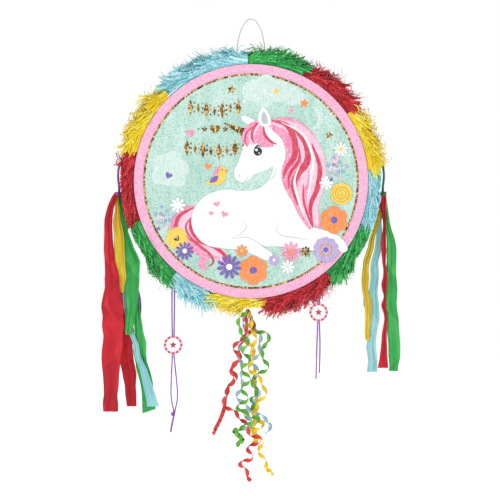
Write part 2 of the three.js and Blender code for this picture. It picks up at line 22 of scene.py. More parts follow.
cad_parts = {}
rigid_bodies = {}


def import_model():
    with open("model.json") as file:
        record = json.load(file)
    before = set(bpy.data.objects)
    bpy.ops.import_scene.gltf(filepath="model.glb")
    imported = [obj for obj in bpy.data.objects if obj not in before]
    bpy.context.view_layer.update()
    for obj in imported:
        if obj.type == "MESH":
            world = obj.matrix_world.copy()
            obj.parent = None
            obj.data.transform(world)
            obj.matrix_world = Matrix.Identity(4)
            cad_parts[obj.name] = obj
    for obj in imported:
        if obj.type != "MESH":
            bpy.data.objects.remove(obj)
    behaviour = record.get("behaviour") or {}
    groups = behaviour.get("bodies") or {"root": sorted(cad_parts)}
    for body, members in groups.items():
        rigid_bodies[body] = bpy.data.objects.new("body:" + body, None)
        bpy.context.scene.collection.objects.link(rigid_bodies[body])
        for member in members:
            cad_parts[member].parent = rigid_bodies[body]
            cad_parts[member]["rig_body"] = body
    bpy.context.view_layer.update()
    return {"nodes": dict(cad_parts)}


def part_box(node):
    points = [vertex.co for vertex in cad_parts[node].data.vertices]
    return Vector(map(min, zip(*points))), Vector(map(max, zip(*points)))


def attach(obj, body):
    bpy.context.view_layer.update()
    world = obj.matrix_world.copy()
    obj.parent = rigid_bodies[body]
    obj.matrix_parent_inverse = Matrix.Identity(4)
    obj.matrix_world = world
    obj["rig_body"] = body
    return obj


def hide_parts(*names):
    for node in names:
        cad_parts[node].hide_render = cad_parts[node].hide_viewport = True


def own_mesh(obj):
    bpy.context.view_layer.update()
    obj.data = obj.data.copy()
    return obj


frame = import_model()

LOG = logging.getLogger("pinata")
MM = 0.001

# ---- sizes shared with the CAD frame ----

CENTRE_Z = -290 * MM
FACE_RADIUS = 205 * MM
HALF_DEPTH = 38 * MM
FRINGE_INSIDE = 206 * MM
FRINGE_OUTSIDE = 230 * MM
DOOR_HINGE = 199.1
HINGE_RADIUS = 205.5 * MM
HINGE_WEDGE = 44.0
DOOR_TOP_Z = -480 * MM
HOLE_X = 24 * MM
HOLE_Z = -87.417 * MM
RIBBON_EXIT_X = -6 * MM
RIBBON_EXIT_Z = -517.219 * MM
RIBBON_PITCH = 6.175 * MM
RIBBON_COUNT = 8
TIE_X = 235 * MM
TIE_Z = -303 * MM
TIE_ANGLE = 80.3
LAYER = 76 * MM / 15
STRING_Y = -25.5 * MM

WHITE = (1.0, 1.0, 1.0, 1.0)

Point = tuple[float, float, float]
FlatPoint = tuple[float, float]
Socket = bpy.types.NodeSocket
Piece = bpy.types.Object
Surface = bpy.types.Material


# ---- lines ----


def polar(radius: float, angle: float, y: float = 0.0) -> np.ndarray:
    """A point on the drum at a radius and an angle."""
    turn = math.radians(angle)
    return np.array((radius * math.sin(turn), y, CENTRE_Z + radius * math.cos(turn)))


def outward(angle: float) -> np.ndarray:
    """The unit vector that points straight out of the drum's middle at an angle."""
    return polar(1.0, angle) - (0, 0, CENTRE_Z)


def round_point(middle: FlatPoint, radius: float, turn: float) -> FlatPoint:
    """A point of a flat circle, at a turn in radians clockwise from its top."""
    return middle[0] + radius * math.sin(turn), middle[1] + radius * math.cos(turn)


def distances(line: np.ndarray) -> np.ndarray:
    """How far along a line each of its points is."""
    return np.concatenate([[0.0], np.cumsum(np.linalg.norm(np.diff(line, axis=0), axis=1))])


def evenly(line: np.ndarray, step: float) -> np.ndarray:
    """Space a line's points evenly.

    Args:
        line: Points down the line.
        step: Distance wanted between neighbours.

    Returns:
        The same line with evenly spaced points.
    """
    along = distances(line)
    count = max(2, round(along[-1] / step) + 1)
    at = np.linspace(0.0, along[-1], count)
    return np.stack([np.interp(at, along, line[:, k]) for k in range(line.shape[1])], axis=1)


def curve(a: np.ndarray, b: np.ndarray, c: np.ndarray, d: np.ndarray, t: np.ndarray) -> np.ndarray:
    """The points between b and c of a smooth line that also passes through a and d."""
    bend = (2 * a - 5 * b + 4 * c - d) * t**2
    sway = (3 * b - a - 3 * c + d) * t**3
    return 0.5 * (2 * b + (c - a) * t + bend + sway)


def smooth_line(points: Sequence[Sequence[float]], step: float) -> np.ndarray:
    """Draw a smooth line through given points.

    Args:
        points: The points that the line passes through.
        step: Distance wanted between the line's own points.

    Returns:
        Evenly spaced points down the line.
    """
    given = np.asarray(points, float)
    before = 2 * given[:1] - given[1:2]
    after = 2 * given[-1:] - given[-2:-1]
    p = np.vstack([before, given, after])
    t = np.linspace(0.0, 1.0, 16, endpoint=False)[:, None]
    spans = [curve(*corners, t) for corners in zip(p, p[1:], p[2:], p[3:])]
    return evenly(np.vstack([*spans, given[-1:]]), step)


def line_length(line: np.ndarray) -> float:
    """The length of a line of points."""
    return float(distances(line)[-1])


def unit(vectors: np.ndarray) -> np.ndarray:
    """Vectors of the same direction and a length of one."""
    lengths = np.linalg.norm(vectors, axis=-1, keepdims=True)
    return vectors / np.maximum(lengths, 1e-12)


def tangents(line: np.ndarray) -> np.ndarray:
    """The direction of a line at each of its points."""
    return unit(np.gradient(line, axis=0))


def carried_sides(line: np.ndarray, first: Sequence[float]) -> np.ndarray:
    """Carry a sideways direction down a line without twisting it.

    Args:
        line: Points down the line.
        first: Roughly the sideways direction at the line's start.

    Returns:
        One unit vector square to the line at each point.
    """
    along = tangents(line)
    side = np.asarray(first, float)
    sides = []
    for direction in along:
        side = side - direction * float(side @ direction)
        side = side / max(float(np.linalg.norm(side)), 1e-9)
        sides.append(side)
    return np.array(sides)


def turned(line: np.ndarray, sides: np.ndarray, angles: np.ndarray) -> np.ndarray:
    """Sideways directions turned about the line by an angle at each point."""
    facing = np.cross(tangents(line), sides)
    return sides * np.cos(angles)[:, None] + facing * np.sin(angles)[:, None]


def three_turns(top: Point, across: float, deep: float, fall: float, count: int) -> np.ndarray:
    """Wind a line three times round an upright axis.

    Args:
        top: Where the axis starts.
        across: The turns' reach from side to side.
        deep: Their reach from front to back.
        fall: How far down the line runs.
        count: How many points it has.

    Returns:
        Points down the line.
    """
    turn = np.linspace(0, 6 * math.pi, count)
    x, y, z = top
    return np.stack([x + across * np.cos(turn), y + deep * np.sin(turn), z - fall * turn / turn[-1]], axis=1)


# ---- shapes ----


@dataclass
class Shape:
    """The points and faces of a piece while it is being made.

    Attributes:
        points: One row for each point.
        faces: The points of each face, in order.
        uv: Where each point lies on the piece's own surface, in metres.
        tone: A shade from 0 to 1 for each point.
        paint: The number of each face's finish.
    """

    points: np.ndarray
    faces: list[tuple[int, ...]]
    uv: np.ndarray | None = None
    tone: np.ndarray | None = None
    paint: list[int] = field(default_factory=list)

    def painted(self, number: int) -> "Shape":
        """This shape with one finish on every face."""
        self.paint = [number] * len(self.faces)
        return self


def joined(shapes: Iterable[Shape]) -> Shape:
    """Join shapes into one, which keeps their places, shades and finishes."""
    points, faces, uvs, tones, paint = [], [], [], [], []
    start = 0
    for shape in shapes:
        count = len(shape.points)
        points.append(shape.points)
        faces += [tuple(start + i for i in face) for face in shape.faces]
        uvs.append(np.zeros((count, 2)) if shape.uv is None else shape.uv)
        tones.append(np.full(count, 0.5) if shape.tone is None else shape.tone)
        paint += shape.paint or [0] * len(shape.faces)
        start += count
    return Shape(np.vstack(points), faces, np.vstack(uvs), np.concatenate(tones), paint)


def sweep(line: np.ndarray, section: np.ndarray, sides: np.ndarray) -> Shape:
    """Carry a closed section down a line, and close both ends.

    Args:
        line: Points down the middle.
        section: The section's points, counter-clockwise, as (sideways, facing).
        sides: The sideways direction at each point of the line.

    Returns:
        A closed shape whose uv is (along, around).
    """
    along = tangents(line)
    square = unit(sides - along * (sides * along).sum(1, keepdims=True))
    facing = np.cross(along, square)
    rings = (
        line[:, None, :]
        + section[None, :, :1] * square[:, None, :]
        + section[None, :, 1:] * facing[:, None, :]
    )
    rows, around = rings.shape[:2]
    faces: list[tuple[int, ...]] = []
    for i in range(rows - 1):
        for j in range(around):
            k = (j + 1) % around
            faces.append((i * around + j, i * around + k, (i + 1) * around + k, (i + 1) * around + j))
    faces.append(tuple(reversed(range(around))))
    faces.append(tuple((rows - 1) * around + j for j in range(around)))
    uv = np.stack(np.meshgrid(distances(line), distances(section), indexing="ij"), axis=-1).reshape(-1, 2)
    return Shape(rings.reshape(-1, 3), faces, uv)


def sheet_grid(rows: np.ndarray, uv: np.ndarray) -> Shape:
    """A sheet through rows of points, given as an array of (row, across, xyz)."""
    down, across = rows.shape[:2]
    faces = [
        (i * across + j, (i + 1) * across + j, (i + 1) * across + j + 1, i * across + j + 1)
        for i in range(down - 1)
        for j in range(across - 1)
    ]
    return Shape(rows.reshape(-1, 3), faces, uv.reshape(-1, 2))


def round_section(diameter: float, sides: int = 10, lobes: int = 0, depth: float = 0.0) -> np.ndarray:
    """A round cord's section, with strands that bulge if it has lobes."""
    turn = np.linspace(0, 2 * math.pi, sides, endpoint=False)
    radius = diameter / 2 * (1 - depth + depth * np.abs(np.cos(turn * lobes / 2)))
    return np.stack([radius * np.cos(turn), radius * np.sin(turn)], axis=1)


def ribbon_section(width: float, thickness: float, cup: float) -> np.ndarray:
    """A flat ribbon's section, cupped a little across its width."""
    across = np.linspace(-0.5, 0.5, 6)
    bow = cup * (1 - (2 * across) ** 2)
    lower = np.stack([across * width, bow - thickness / 2], axis=1)
    upper = np.stack([across * width, bow + thickness / 2], axis=1)
    return np.vstack([lower, upper[::-1]])


def make_piece(name: str, shape: Shape, finishes: Sequence[Surface], smooth: bool = True) -> Piece:
    """Turn a shape into a Blender object at the origin.

    Args:
        name: The piece's name.
        shape: Its points and faces.
        finishes: The materials that the shape's paint numbers name.
        smooth: Whether its faces are shaded smoothly.

    Returns:
        The new object, linked to the scene.
    """
    mesh = bpy.data.meshes.new(name)
    mesh.from_pydata(shape.points.tolist(), [], shape.faces)
    for finish in finishes:
        mesh.materials.append(finish)
    if shape.paint:
        mesh.polygons.foreach_set("material_index", shape.paint)
    corners = np.zeros(len(mesh.loops), np.int32)
    mesh.loops.foreach_get("vertex_index", corners)
    if shape.uv is not None:
        layer = mesh.uv_layers.new(name="surface")
        layer.uv.foreach_set("vector", shape.uv[corners].astype(np.float32).ravel())
    if shape.tone is not None:
        tone = mesh.attributes.new("tone", "FLOAT", "POINT")
        tone.data.foreach_set("value", shape.tone.astype(np.float32))
    mesh.polygons.foreach_set("use_smooth", [smooth] * len(mesh.polygons))
    mesh.update()
    piece = bpy.data.objects.new(name, mesh)
    bpy.context.scene.collection.objects.link(piece)
    return piece


def settle(piece: Piece) -> Piece:
    """Make what a piece's modifiers produce its own plain mesh, and remove them."""
    graph = bpy.context.evaluated_depsgraph_get()
    made = piece.evaluated_get(graph)
    mesh = bpy.data.meshes.new_from_object(made, preserve_all_data_layers=True, depsgraph=graph)
    piece.modifiers.clear()
    piece.data = mesh
    return piece


def hand_over(piece: Piece, body: str, slot: str, *stands_for: str) -> Piece:
    """Attach a finished piece to the CAD body that it rides on, and hide the CAD nodes that it stands for.

    Args:
        piece: The finished piece.
        body: The CAD body that it moves with.
        slot: The record's material slot; not used.
        stands_for: The CAD nodes that it is shown in place of.

    Returns:
        The same piece.
    """
    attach(piece, body)
    if stands_for:
        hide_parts(*stands_for)
    LOG.info("%s: %d faces, rides on %s", piece.name, len(piece.data.polygons), body)
    return piece


# ---- node trees ----


class Tree:
    """A node tree while it is being wired."""

    def __init__(self, tree: bpy.types.NodeTree) -> None:
        """Start wiring in a tree."""
        self.tree = tree

    def feed(self, socket: Socket, value: object) -> None:
        """Link an output to a socket, or set the socket's own value."""
        if isinstance(value, Socket):
            self.tree.links.new(value, socket)
        else:
            socket.default_value = value

    def add(
        self, kind: str, inputs: dict[str | int, object] | None = None, **settings: object
    ) -> bpy.types.Node:
        """Add a node.

        Args:
            kind: The node's type.
            inputs: Values or outputs for its sockets, by name or by number.
            settings: The node's own settings.

        Returns:
            The new node.
        """
        node = self.tree.nodes.new(kind)
        for key, value in settings.items():
            setattr(node, key, value)
        for key, value in (inputs or {}).items():
            if isinstance(key, int):
                socket = node.inputs[key]
            else:
                socket = next(s for s in node.inputs if s.enabled and s.name == key)
            self.feed(socket, value)
        return node

    def math(self, operation: str, first: object, second: object = 0.0) -> Socket:
        """The result of arithmetic on two numbers."""
        return self.add("ShaderNodeMath", {0: first, 1: second}, operation=operation).outputs[0]

    def vector(self, operation: str, first: object, second: object = (0, 0, 0)) -> Socket:
        """The result of arithmetic on two vectors."""
        return self.add("ShaderNodeVectorMath", {0: first, 1: second}, operation=operation).outputs[0]

    def weighed(self, *terms: tuple[object, float]) -> Socket:
        """The sum of values, each multiplied by its weight."""
        total, *rest = [self.math("MULTIPLY", value, weight) for value, weight in terms]
        for term in rest:
            total = self.math("ADD", total, term)
        return total

    def times(self, vector: object, factor: object) -> Socket:
        """A vector made longer or shorter."""
        node = self.add("ShaderNodeVectorMath", {0: vector, "Scale": factor}, operation="SCALE")
        return node.outputs[0]


class Wires(Tree):
    """A Geometry Nodes tree with named inputs."""

    def __init__(self, name: str) -> None:
        """Start an empty tree that takes a mesh and gives one."""
        tree = bpy.data.node_groups.new(name, "GeometryNodeTree")
        super().__init__(tree)
        tree.interface.new_socket("Geometry", in_out="INPUT", socket_type="NodeSocketGeometry")
        tree.interface.new_socket("Geometry", in_out="OUTPUT", socket_type="NodeSocketGeometry")
        self.entry = tree.nodes.new("NodeGroupInput")
        self.exit = tree.nodes.new("NodeGroupOutput")

    def ask(self, name: str, kind: str = "NodeSocketFloat") -> Socket:
        """Add a named input, and return the socket that carries it."""
        self.tree.interface.new_socket(name, in_out="INPUT", socket_type=kind)
        return self.entry.outputs[name]

    def chance(self, low: object, high: object, seed: object, kind: str = "FLOAT") -> Socket:
        """A random number, whole number or vector for each point."""
        node = self.add(
            "FunctionNodeRandomValue", {"Min": low, "Max": high, "Seed": seed}, data_type=kind
        )
        return next(s for s in node.outputs if s.enabled)


def apply_tree(piece: Piece, tree: bpy.types.NodeTree, values: dict[str, object]) -> Piece:
    """Run a Geometry Nodes tree on a piece and keep the result as plain mesh.

    Args:
        piece: The piece that the tree starts from.
        tree: The tree.
        values: The tree's inputs by name.

    Returns:
        The piece, with its new mesh and no modifier.
    """
    modifier = piece.modifiers.new(tree.name, "NODES")
    modifier.node_group = tree
    for item in tree.interface.items_tree:
        if item.item_type == "SOCKET" and item.in_out == "INPUT" and item.name in values:
            modifier[item.identifier] = values[item.name]
    return settle(piece)


# ---- finishes ----


def linear(code: str) -> tuple[float, float, float, float]:
    """The colour of a hex code, as linear light."""
    channels = [int(code[i : i + 2], 16) / 255 for i in (1, 3, 5)]
    return (*[c / 12.92 if c <= 0.04045 else ((c + 0.055) / 1.055) ** 2.4 for c in channels], 1.0)


class Material(Tree):
    """A material while its nodes are being wired."""

    def __init__(self, name: str, roughness: float, **surface: float) -> None:
        """Start a material with one shader, whose plain values are set on it."""
        self.material = bpy.data.materials.new(name)
        self.material.use_nodes = True
        super().__init__(self.material.node_tree)
        self.shader = self.tree.nodes["Principled BSDF"]
        self.shader.inputs["Roughness"].default_value = roughness
        for key, value in surface.items():
            self.shader.inputs[key.replace("_", " ").title()].default_value = value

    def places(self) -> Socket:
        """Each point's place in the part's frame."""
        return self.add("ShaderNodeTexCoord").outputs["Object"]

    def surface_places(self, stretch: Point) -> Socket:
        """Each point's place on the piece's own surface, stretched."""
        uv = self.add("ShaderNodeUVMap", uv_map="surface").outputs[0]
        return self.vector("MULTIPLY", uv, stretch)

    def noise(self, places: object, scale: float, detail: float = 2.0) -> Socket:
        """A soft random pattern from 0 to 1."""
        node = self.add(
            "ShaderNodeTexNoise", {"Vector": places, "Scale": scale, "Detail": detail}
        )
        return node.outputs[0]

    def flecks(self, places: object, scale: float) -> Socket:
        """A random shade from 0 to 1 for each small cell."""
        node = self.add("ShaderNodeTexVoronoi", {"Vector": places, "Scale": scale})
        return self.add("ShaderNodeSeparateColor", {0: node.outputs["Color"]}).outputs[0]

    def ramp(self, value: object, *stops: tuple[float, str]) -> Socket:
        """Colours in order along a value, as hex codes."""
        node = self.add("ShaderNodeValToRGB", {0: value})
        stripe = node.color_ramp
        for _ in stops[2:]:
            stripe.elements.new(0.5)
        for element, (place, code) in zip(stripe.elements, stops):
            element.position = place
            element.color = linear(code)
        return node.outputs[0]

    def blend(self, share: object, first: object, second: object) -> Socket:
        """Two colours mixed by a share from 0 to 1."""
        return self.add("ShaderNodeMix", {0: share, 6: first, 7: second}, data_type="RGBA").outputs[2]

    def sprinkled(
        self, under: object, flecks: object, least: float, strength: float, over: object
    ) -> Socket:
        """A colour with another one on the flecks whose shade is over a least value."""
        share = self.math("MULTIPLY", self.math("GREATER_THAN", flecks, least), strength)
        return self.blend(share, under, over)

    def colour(self, value: object) -> None:
        """Give the surface its colour."""
        self.feed(self.shader.inputs["Base Color"], value)

    def bump(self, height: object, distance: float, strength: float = 1.0) -> None:
        """Raise the surface by a pattern, this far at most."""
        node = self.add("ShaderNodeBump", {"Strength": strength, "Distance": distance, "Height": height})
        self.feed(self.shader.inputs["Normal"], node.outputs[0])


@dataclass(frozen=True)
class CrepeFinish:
    """Crepe paper.

    Attributes:
        name: The start of its materials' names, and its slot.
        tails: Its shades in cut tails, from the folds to the lit edges.
        sheet: Its shades in long sheets.
    """

    name: str
    tails: tuple[str, str, str]
    sheet: tuple[str, str, str]

    @cache
    def on_tails(self) -> Surface:
        """Cut tails, each with its own painted shade or highlight from the tone attribute."""
        m = Material(f"{self.name}_tails", 0.8, sheen_weight=0.3)
        tone = m.add("ShaderNodeAttribute", attribute_name="tone").outputs["Fac"]
        shade = m.weighed((tone, 0.75), (m.noise(m.places(), 160, 3), 0.25))
        # The ramp runs from painted shade through the paper's colour to painted highlight.
        m.colour(m.ramp(shade, *zip((0.12, 0.5, 0.9), self.tails)))
        m.bump(m.noise(m.places(), 900, 2), 0.4 * MM, 0.5)
        return m.material

    @cache
    def on_streamers(self) -> Surface:
        """Long sheets with crinkles across them in bump and painted shade, painted shade of soft folds down
        them, and patches between the folds.
        """
        m = Material(f"{self.name}_streamer", 0.8, sheen_weight=0.05)
        crinkles = m.noise(m.surface_places((260, 1100, 1)), 1.0, 3)
        folds = m.noise(m.surface_places((60, 20, 1)), 1.0, 2)
        patches = m.flecks(m.surface_places((34, 22, 1)), 1.0)
        # The colour follows the crinkles and soft folds as painted shade; the patches are uneven tone.
        shade = m.weighed((crinkles, 0.22), (folds, 0.36), (patches, 0.34))
        m.colour(m.ramp(shade, *zip((0.2, 0.5, 0.8), self.sheet)))
        m.bump(crinkles, 0.5 * MM, 0.6)
        return m.material


class Crepe(Enum):
    """The crepe papers by colour."""

    BLUE = CrepeFinish("crepe_blue", ("#7fd3df", "#b2edf4", "#dcfafd"), ("#86c8cf", "#a6dcdf", "#c6ecec"))
    GREEN = CrepeFinish("crepe_green", ("#1a8f3f", "#2dba55", "#6ce084"), ("#249443", "#3db257", "#6acb78"))
    RED = CrepeFinish("crepe_red", ("#9c0f1d", "#da2033", "#f25058"), ("#a00c1e", "#c91529", "#dc3a48"))
    YELLOW = CrepeFinish("crepe_yellow", ("#fbd400", "#ffee10", "#fffa8a"), ("#cda81c", "#e2c636", "#eedc5c"))


@dataclass(frozen=True)
class RibbonFinish:
    """Curling ribbon, ribbed finely along its length and glossy."""

    name: str
    dark: str
    light: str
    roughness: float = 0.28

    @cache
    def material(self) -> Surface:
        """The ribbon's material, which follows its surface."""
        m = Material(self.name, self.roughness, sheen_weight=0.1)
        ribs = m.add(
            "ShaderNodeTexWave",
            {"Vector": m.surface_places((0, 1, 0)), "Scale": 1100},
            bands_direction="Y",
        ).outputs[1]
        wander = m.noise(m.surface_places((60, 40, 1)), 1.0, 2)
        m.colour(m.ramp(wander, (0.3, self.dark), (0.7, self.light)))
        m.bump(ribs, 0.08 * MM, 0.5)
        return m.material


class Ribbon(Enum):
    """The ribbons by colour."""

    BLUE = RibbonFinish("ribbon_blue", "#8fb9d2", "#c4e0ee")
    GREEN = RibbonFinish("ribbon_green", "#3f9a1f", "#76c43a")
    RED = RibbonFinish("ribbon_red", "#c9181f", "#e8443c")
    YELLOW = RibbonFinish("ribbon_yellow", "#efc400", "#ffe21f")
    PURPLE = RibbonFinish("ribbon_purple", "#74389a", "#9f5fc2", 0.4)
    DARK_GREEN = RibbonFinish("ribbon_dark_green", "#14502a", "#2b7a3e", 0.45)


@dataclass(frozen=True)
class CardFinish:
    """Plain card or board, with fibres and a slightly uneven shade."""

    name: str
    dark: str
    light: str
    flutes: bool = False

    @cache
    def material(self) -> Surface:
        """The card's material, which is fixed in the part's frame."""
        m = Material(self.name, 0.85)
        places = m.places()
        fibres = m.noise(m.vector("MULTIPLY", places, (1.0, 1.0, 0.2)), 700, 4)
        cloudy = m.noise(places, 22, 3)
        shade = m.weighed((fibres, 0.5), (cloudy, 0.5))
        m.colour(m.ramp(shade, (0.35, self.dark), (0.65, self.light)))
        height = fibres
        if self.flutes:
            lines = m.add("ShaderNodeTexWave", {"Vector": places, "Scale": 42}, bands_direction="X")
            height = m.math("ADD", m.math("MULTIPLY", fibres, 0.3), lines.outputs[1])
        m.bump(height, 0.25 * MM, 0.5)
        return m.material


@dataclass(frozen=True)
class GlitterCardFinish:
    """A printed sheet with brushed strokes and a fine glittering varnish, whose glints are painted on as
    white specks.
    """

    name: str
    base: str
    pale: str
    shadow: str
    brushed: float

    @cache
    def material(self) -> Surface:
        """The sheet's material, centred on the drum."""
        m = Material(self.name, 0.5, coat_weight=0.15, coat_roughness=0.3)
        places = m.vector("SUBTRACT", m.places(), (0, 0, CENTRE_Z))
        flecks = m.flecks(places, 560)
        painted_glints = m.flecks(places, 1100)
        strokes = m.noise(m.vector("MULTIPLY", places, (60, 1, 16)), 1.0, 4)
        clouds = m.noise(places, 14, 2)
        wash = m.math("MULTIPLY", m.math("MULTIPLY", strokes, clouds), 2.6 * self.brushed)
        colour = m.blend(wash, linear(self.base), linear(self.pale))
        colour = m.sprinkled(colour, flecks, 0.8, 0.55, linear(self.shadow))
        # Painted glints: white specks on the finest cells over 0.78.
        m.colour(m.sprinkled(colour, painted_glints, 0.78, 0.45, WHITE))
        m.bump(flecks, 0.15 * MM, 0.35)
        return m.material


@dataclass(frozen=True)
class FoilFinish:
    """Hot-stamped foil whose colour breaks up into spots of painted dark reflection, gold and painted bright
    highlight.
    """

    name: str
    dark: str
    middle: str
    bright: str

    @cache
    def material(self) -> Surface:
        """The foil's material."""
        m = Material(self.name, 0.32, metallic=0.55)
        painted_reflection_spots = m.flecks(m.places(), 420)
        # Painted reflection: dark spots stand for a dark room mirrored in the foil, bright spots for painted
        # highlights.
        m.colour(m.ramp(painted_reflection_spots, (0.15, self.dark), (0.55, self.middle), (0.95, self.bright)))
        m.bump(m.noise(m.places(), 500, 2), 0.1 * MM, 0.4)
        return m.material


@dataclass(frozen=True)
class PrintFinish:
    """Flat printed colour with the tooth of a brush and a little sparkle, whose glints are painted as white
    specks.
    """

    name: str
    colour: str
    painted_glint_share: float = 0.25
    washed: float = 0.12

    @cache
    def material(self) -> Surface:
        """The print's material."""
        m = Material(self.name, 0.55)
        places = m.places()
        brushed = m.noise(m.vector("MULTIPLY", places, (1.0, 1.0, 0.35)), 260, 3)
        base = linear(self.colour)
        pale = tuple(c + (1 - c) * self.washed for c in base)
        share = m.add("ShaderNodeMapRange", {0: brushed, 1: 0.3, 2: 0.8}).outputs[0]
        colour = m.blend(share, base, pale)
        # Painted glints: white specks on the flecks over 0.82.
        m.colour(m.sprinkled(colour, m.flecks(places, 700), 0.82, self.painted_glint_share, WHITE))
        m.bump(brushed, 0.08 * MM, 0.4)
        return m.material


@dataclass(frozen=True)
class CordFinish:
    """Twisted cord whose fine fibres run round its strands."""

    name: str
    dark: str
    light: str

    @cache
    def material(self) -> Surface:
        """The cord's material, which follows its surface."""
        m = Material(self.name, 0.6, sheen_weight=0.3)
        fibres = m.noise(m.surface_places((900, 2600, 1)), 1.0, 2)
        m.colour(m.ramp(fibres, (0.3, self.dark), (0.7, self.light)))
        m.bump(fibres, 0.12 * MM, 0.5)
        return m.material


KRAFT = CardFinish("kraft_card", "#a67c4f", "#c19a6b", flutes=True)
CHIPBOARD = CardFinish("chipboard", "#8f877a", "#aaa294")
TAPE = CardFinish("paper_tape", "#cdbb92", "#e2d4b2")
TAG_PAPER = CardFinish("tag_paper", "#f7eaf0", "#ffffff")
PINK_CARD = GlitterCardFinish("pink_card", "#f3a6cd", "#f9c6e0", "#e58bbb", 0.4)
MINT_CARD = GlitterCardFinish("mint_card", "#8cc8b4", "#c6e6da", "#6aab99", 1.1)
GOLD = FoilFinish("gold_foil", "#3a2410", "#a8792a", "#f2dc9c")
WHITE_CORD = CordFinish("white_cord", "#b4bcc3", "#eef1f3")


# ---- the hanging loop ----


@dataclass
class HangingLoop:
    """The white cord that the pinata hangs on, with a knot inside at each end."""

    thickness: float = 2.2 * MM
    lay_pitch: float = 9 * MM
    length: float = 202 * MM
    knot_radius: float = 3.4 * MM
    knot_z: float = -96 * MM
    stub_z: tuple[float, float] = (-92 * MM, -89.2 * MM)

    def route(self) -> list[Point]:
        """The loop's points, from the left hole over the hook to the right hole."""
        rise = self.thickness / 2 - HOLE_Z
        shares = [(0.42, 0.94), (0.84, 0.7), (1.04, 0.37), (1.02, 0.15), (1, 0)]
        right = [(across * HOLE_X, 0.0, HOLE_Z + up * rise) for across, up in shares]
        left = [(-x, y, z) for x, y, z in reversed(right)]
        return [*left, (0.0, 0.0, self.thickness / 2), *right]

    def twisted(self, line: np.ndarray) -> Shape:
        """A three-strand cord along a line."""
        section = round_section(self.thickness, 12, lobes=3, depth=0.16)
        distance = np.linspace(0, line_length(line), len(line))
        sides = carried_sides(line, (0, 1, 0))
        return sweep(line, section, turned(line, sides, distance * 2 * math.pi / self.lay_pitch))

    def build(self) -> None:
        """Make the loop and its two knots."""
        finish = WHITE_CORD.material()
        line = smooth_line(self.route(), 1.1 * MM)
        cord = make_piece("loop_cord", self.twisted(line), [finish])
        hand_over(cord, "hanging_loop", "white_cord", "hanging_cord")
        for name, side in (("left", -1), ("right", 1)):
            knot = make_piece(f"loop_knot_{name}", self.knot(side), [finish])
            hand_over(knot, frame["nodes"][f"knot_{name}"]["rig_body"], "white_cord", f"knot_{name}")

    def knot(self, side: int) -> Shape:
        """An overhand knot under the pad, with the stub of cord above it."""
        turn = np.linspace(0, 2 * math.pi, 90)
        reach = self.knot_radius - self.thickness / 2
        loops = np.stack(
            [
                (np.sin(turn) + 2 * np.sin(2 * turn)) / 3 * reach + side * HOLE_X,
                (np.cos(turn) - 2 * np.cos(2 * turn)) / 3 * reach,
                np.sin(3 * turn) * -reach * 0.6 + self.knot_z,
            ],
            axis=1,
        )
        x = side * HOLE_X
        stub = smooth_line([(x, 0, z) for z in (self.knot_z, *self.stub_z)], 1 * MM)
        return joined([self.twisted(loops), self.twisted(stub)])


# ---- the pull ribbons ----


def ribbon_y(number: int) -> float:
    """How far back the ribbon of this number hangs."""
    return (number - (RIBBON_COUNT - 1) / 2) * RIBBON_PITCH


@dataclass
class PullRibbon:
    """One curling ribbon under the trap door.

    Attributes:
        label: The end of its CAD node's name.
        ribbon: Its colour.
        length: Its real length when it hangs; not used.
        route: How far right of the exit and below it each point is, in millimetres.
        coil: The shares of the route between which it is wound into a tight coil.
        coil_radius: How far the coil's middle line is from its axis.
    """

    label: str
    ribbon: Ribbon
    length: float
    route: list[FlatPoint]
    coil: tuple[float, float] = (1.1, 1.2)
    coil_radius: float = 4.2 * MM

    WIDTH = 7.5 * MM
    THICKNESS = 0.25 * MM
    WIND_RADIUS = 3.8 * MM
    WIND_PITCH = 36 * MM
    COIL_PITCH = 9 * MM
    FLATTENED = 0.7
    STEP = 1.3 * MM

    def line(self, number: int) -> tuple[np.ndarray, np.ndarray]:
        """Wind the ribbon along its route, loosely or in a tight coil.

        Args:
            number: Its place from the front, which sets where its turns start.

        Returns:
            The ribbon's middle line and its sideways directions.
        """
        y = ribbon_y(number)
        points = [(RIBBON_EXIT_X + x * MM, y, RIBBON_EXIT_Z - z * MM) for x, z in self.route]
        core = smooth_line(points, 0.35 * MM)
        along = np.linspace(0, 1, len(core))
        distance = along * line_length(core)
        entering = np.clip((along - self.coil[0]) / 0.05, 0, 1)
        leaving = np.clip((self.coil[1] - along) / 0.03, 0, 1)
        coiled = entering * leaving
        pitch = self.WIND_PITCH + (self.COIL_PITCH - self.WIND_PITCH) * coiled
        turn = np.cumsum(np.gradient(distance) * 2 * math.pi / pitch) + number * 1.7
        reach = self.WIND_RADIUS * np.clip(distance / 0.03, 0, 1)
        reach = reach * (1 - coiled) + self.coil_radius * coiled
        sides = carried_sides(core, (1, 0, 0))
        depth = np.cross(tangents(core), sides) * self.FLATTENED
        spokes = sides * np.cos(turn)[:, None] + depth * np.sin(turn)[:, None]
        wound = core + spokes * reach[:, None]
        across = unit(np.cross(spokes, tangents(wound)))
        hops = distances(wound)
        at = np.linspace(0, hops[-1], round(hops[-1] / self.STEP) + 1)
        line, sides = (
            np.stack([np.interp(at, hops, rows[:, k]) for k in range(3)], axis=1) for rows in (wound, across)
        )
        return line, sides

    def build(self, number: int) -> None:
        """Make the ribbon and log its length."""
        line, sides = self.line(number)
        shape = sweep(line, ribbon_section(self.WIDTH, self.THICKNESS, 0.5 * MM), sides)
        piece = make_piece(f"curling_ribbon_{self.label}", shape, [self.ribbon.value.material()])
        hand_over(piece, "pull_ribbons", self.ribbon.value.name, f"pull_ribbon_{self.label}")
        LOG.info("%s is %.4f m long", self.label, line_length(line))


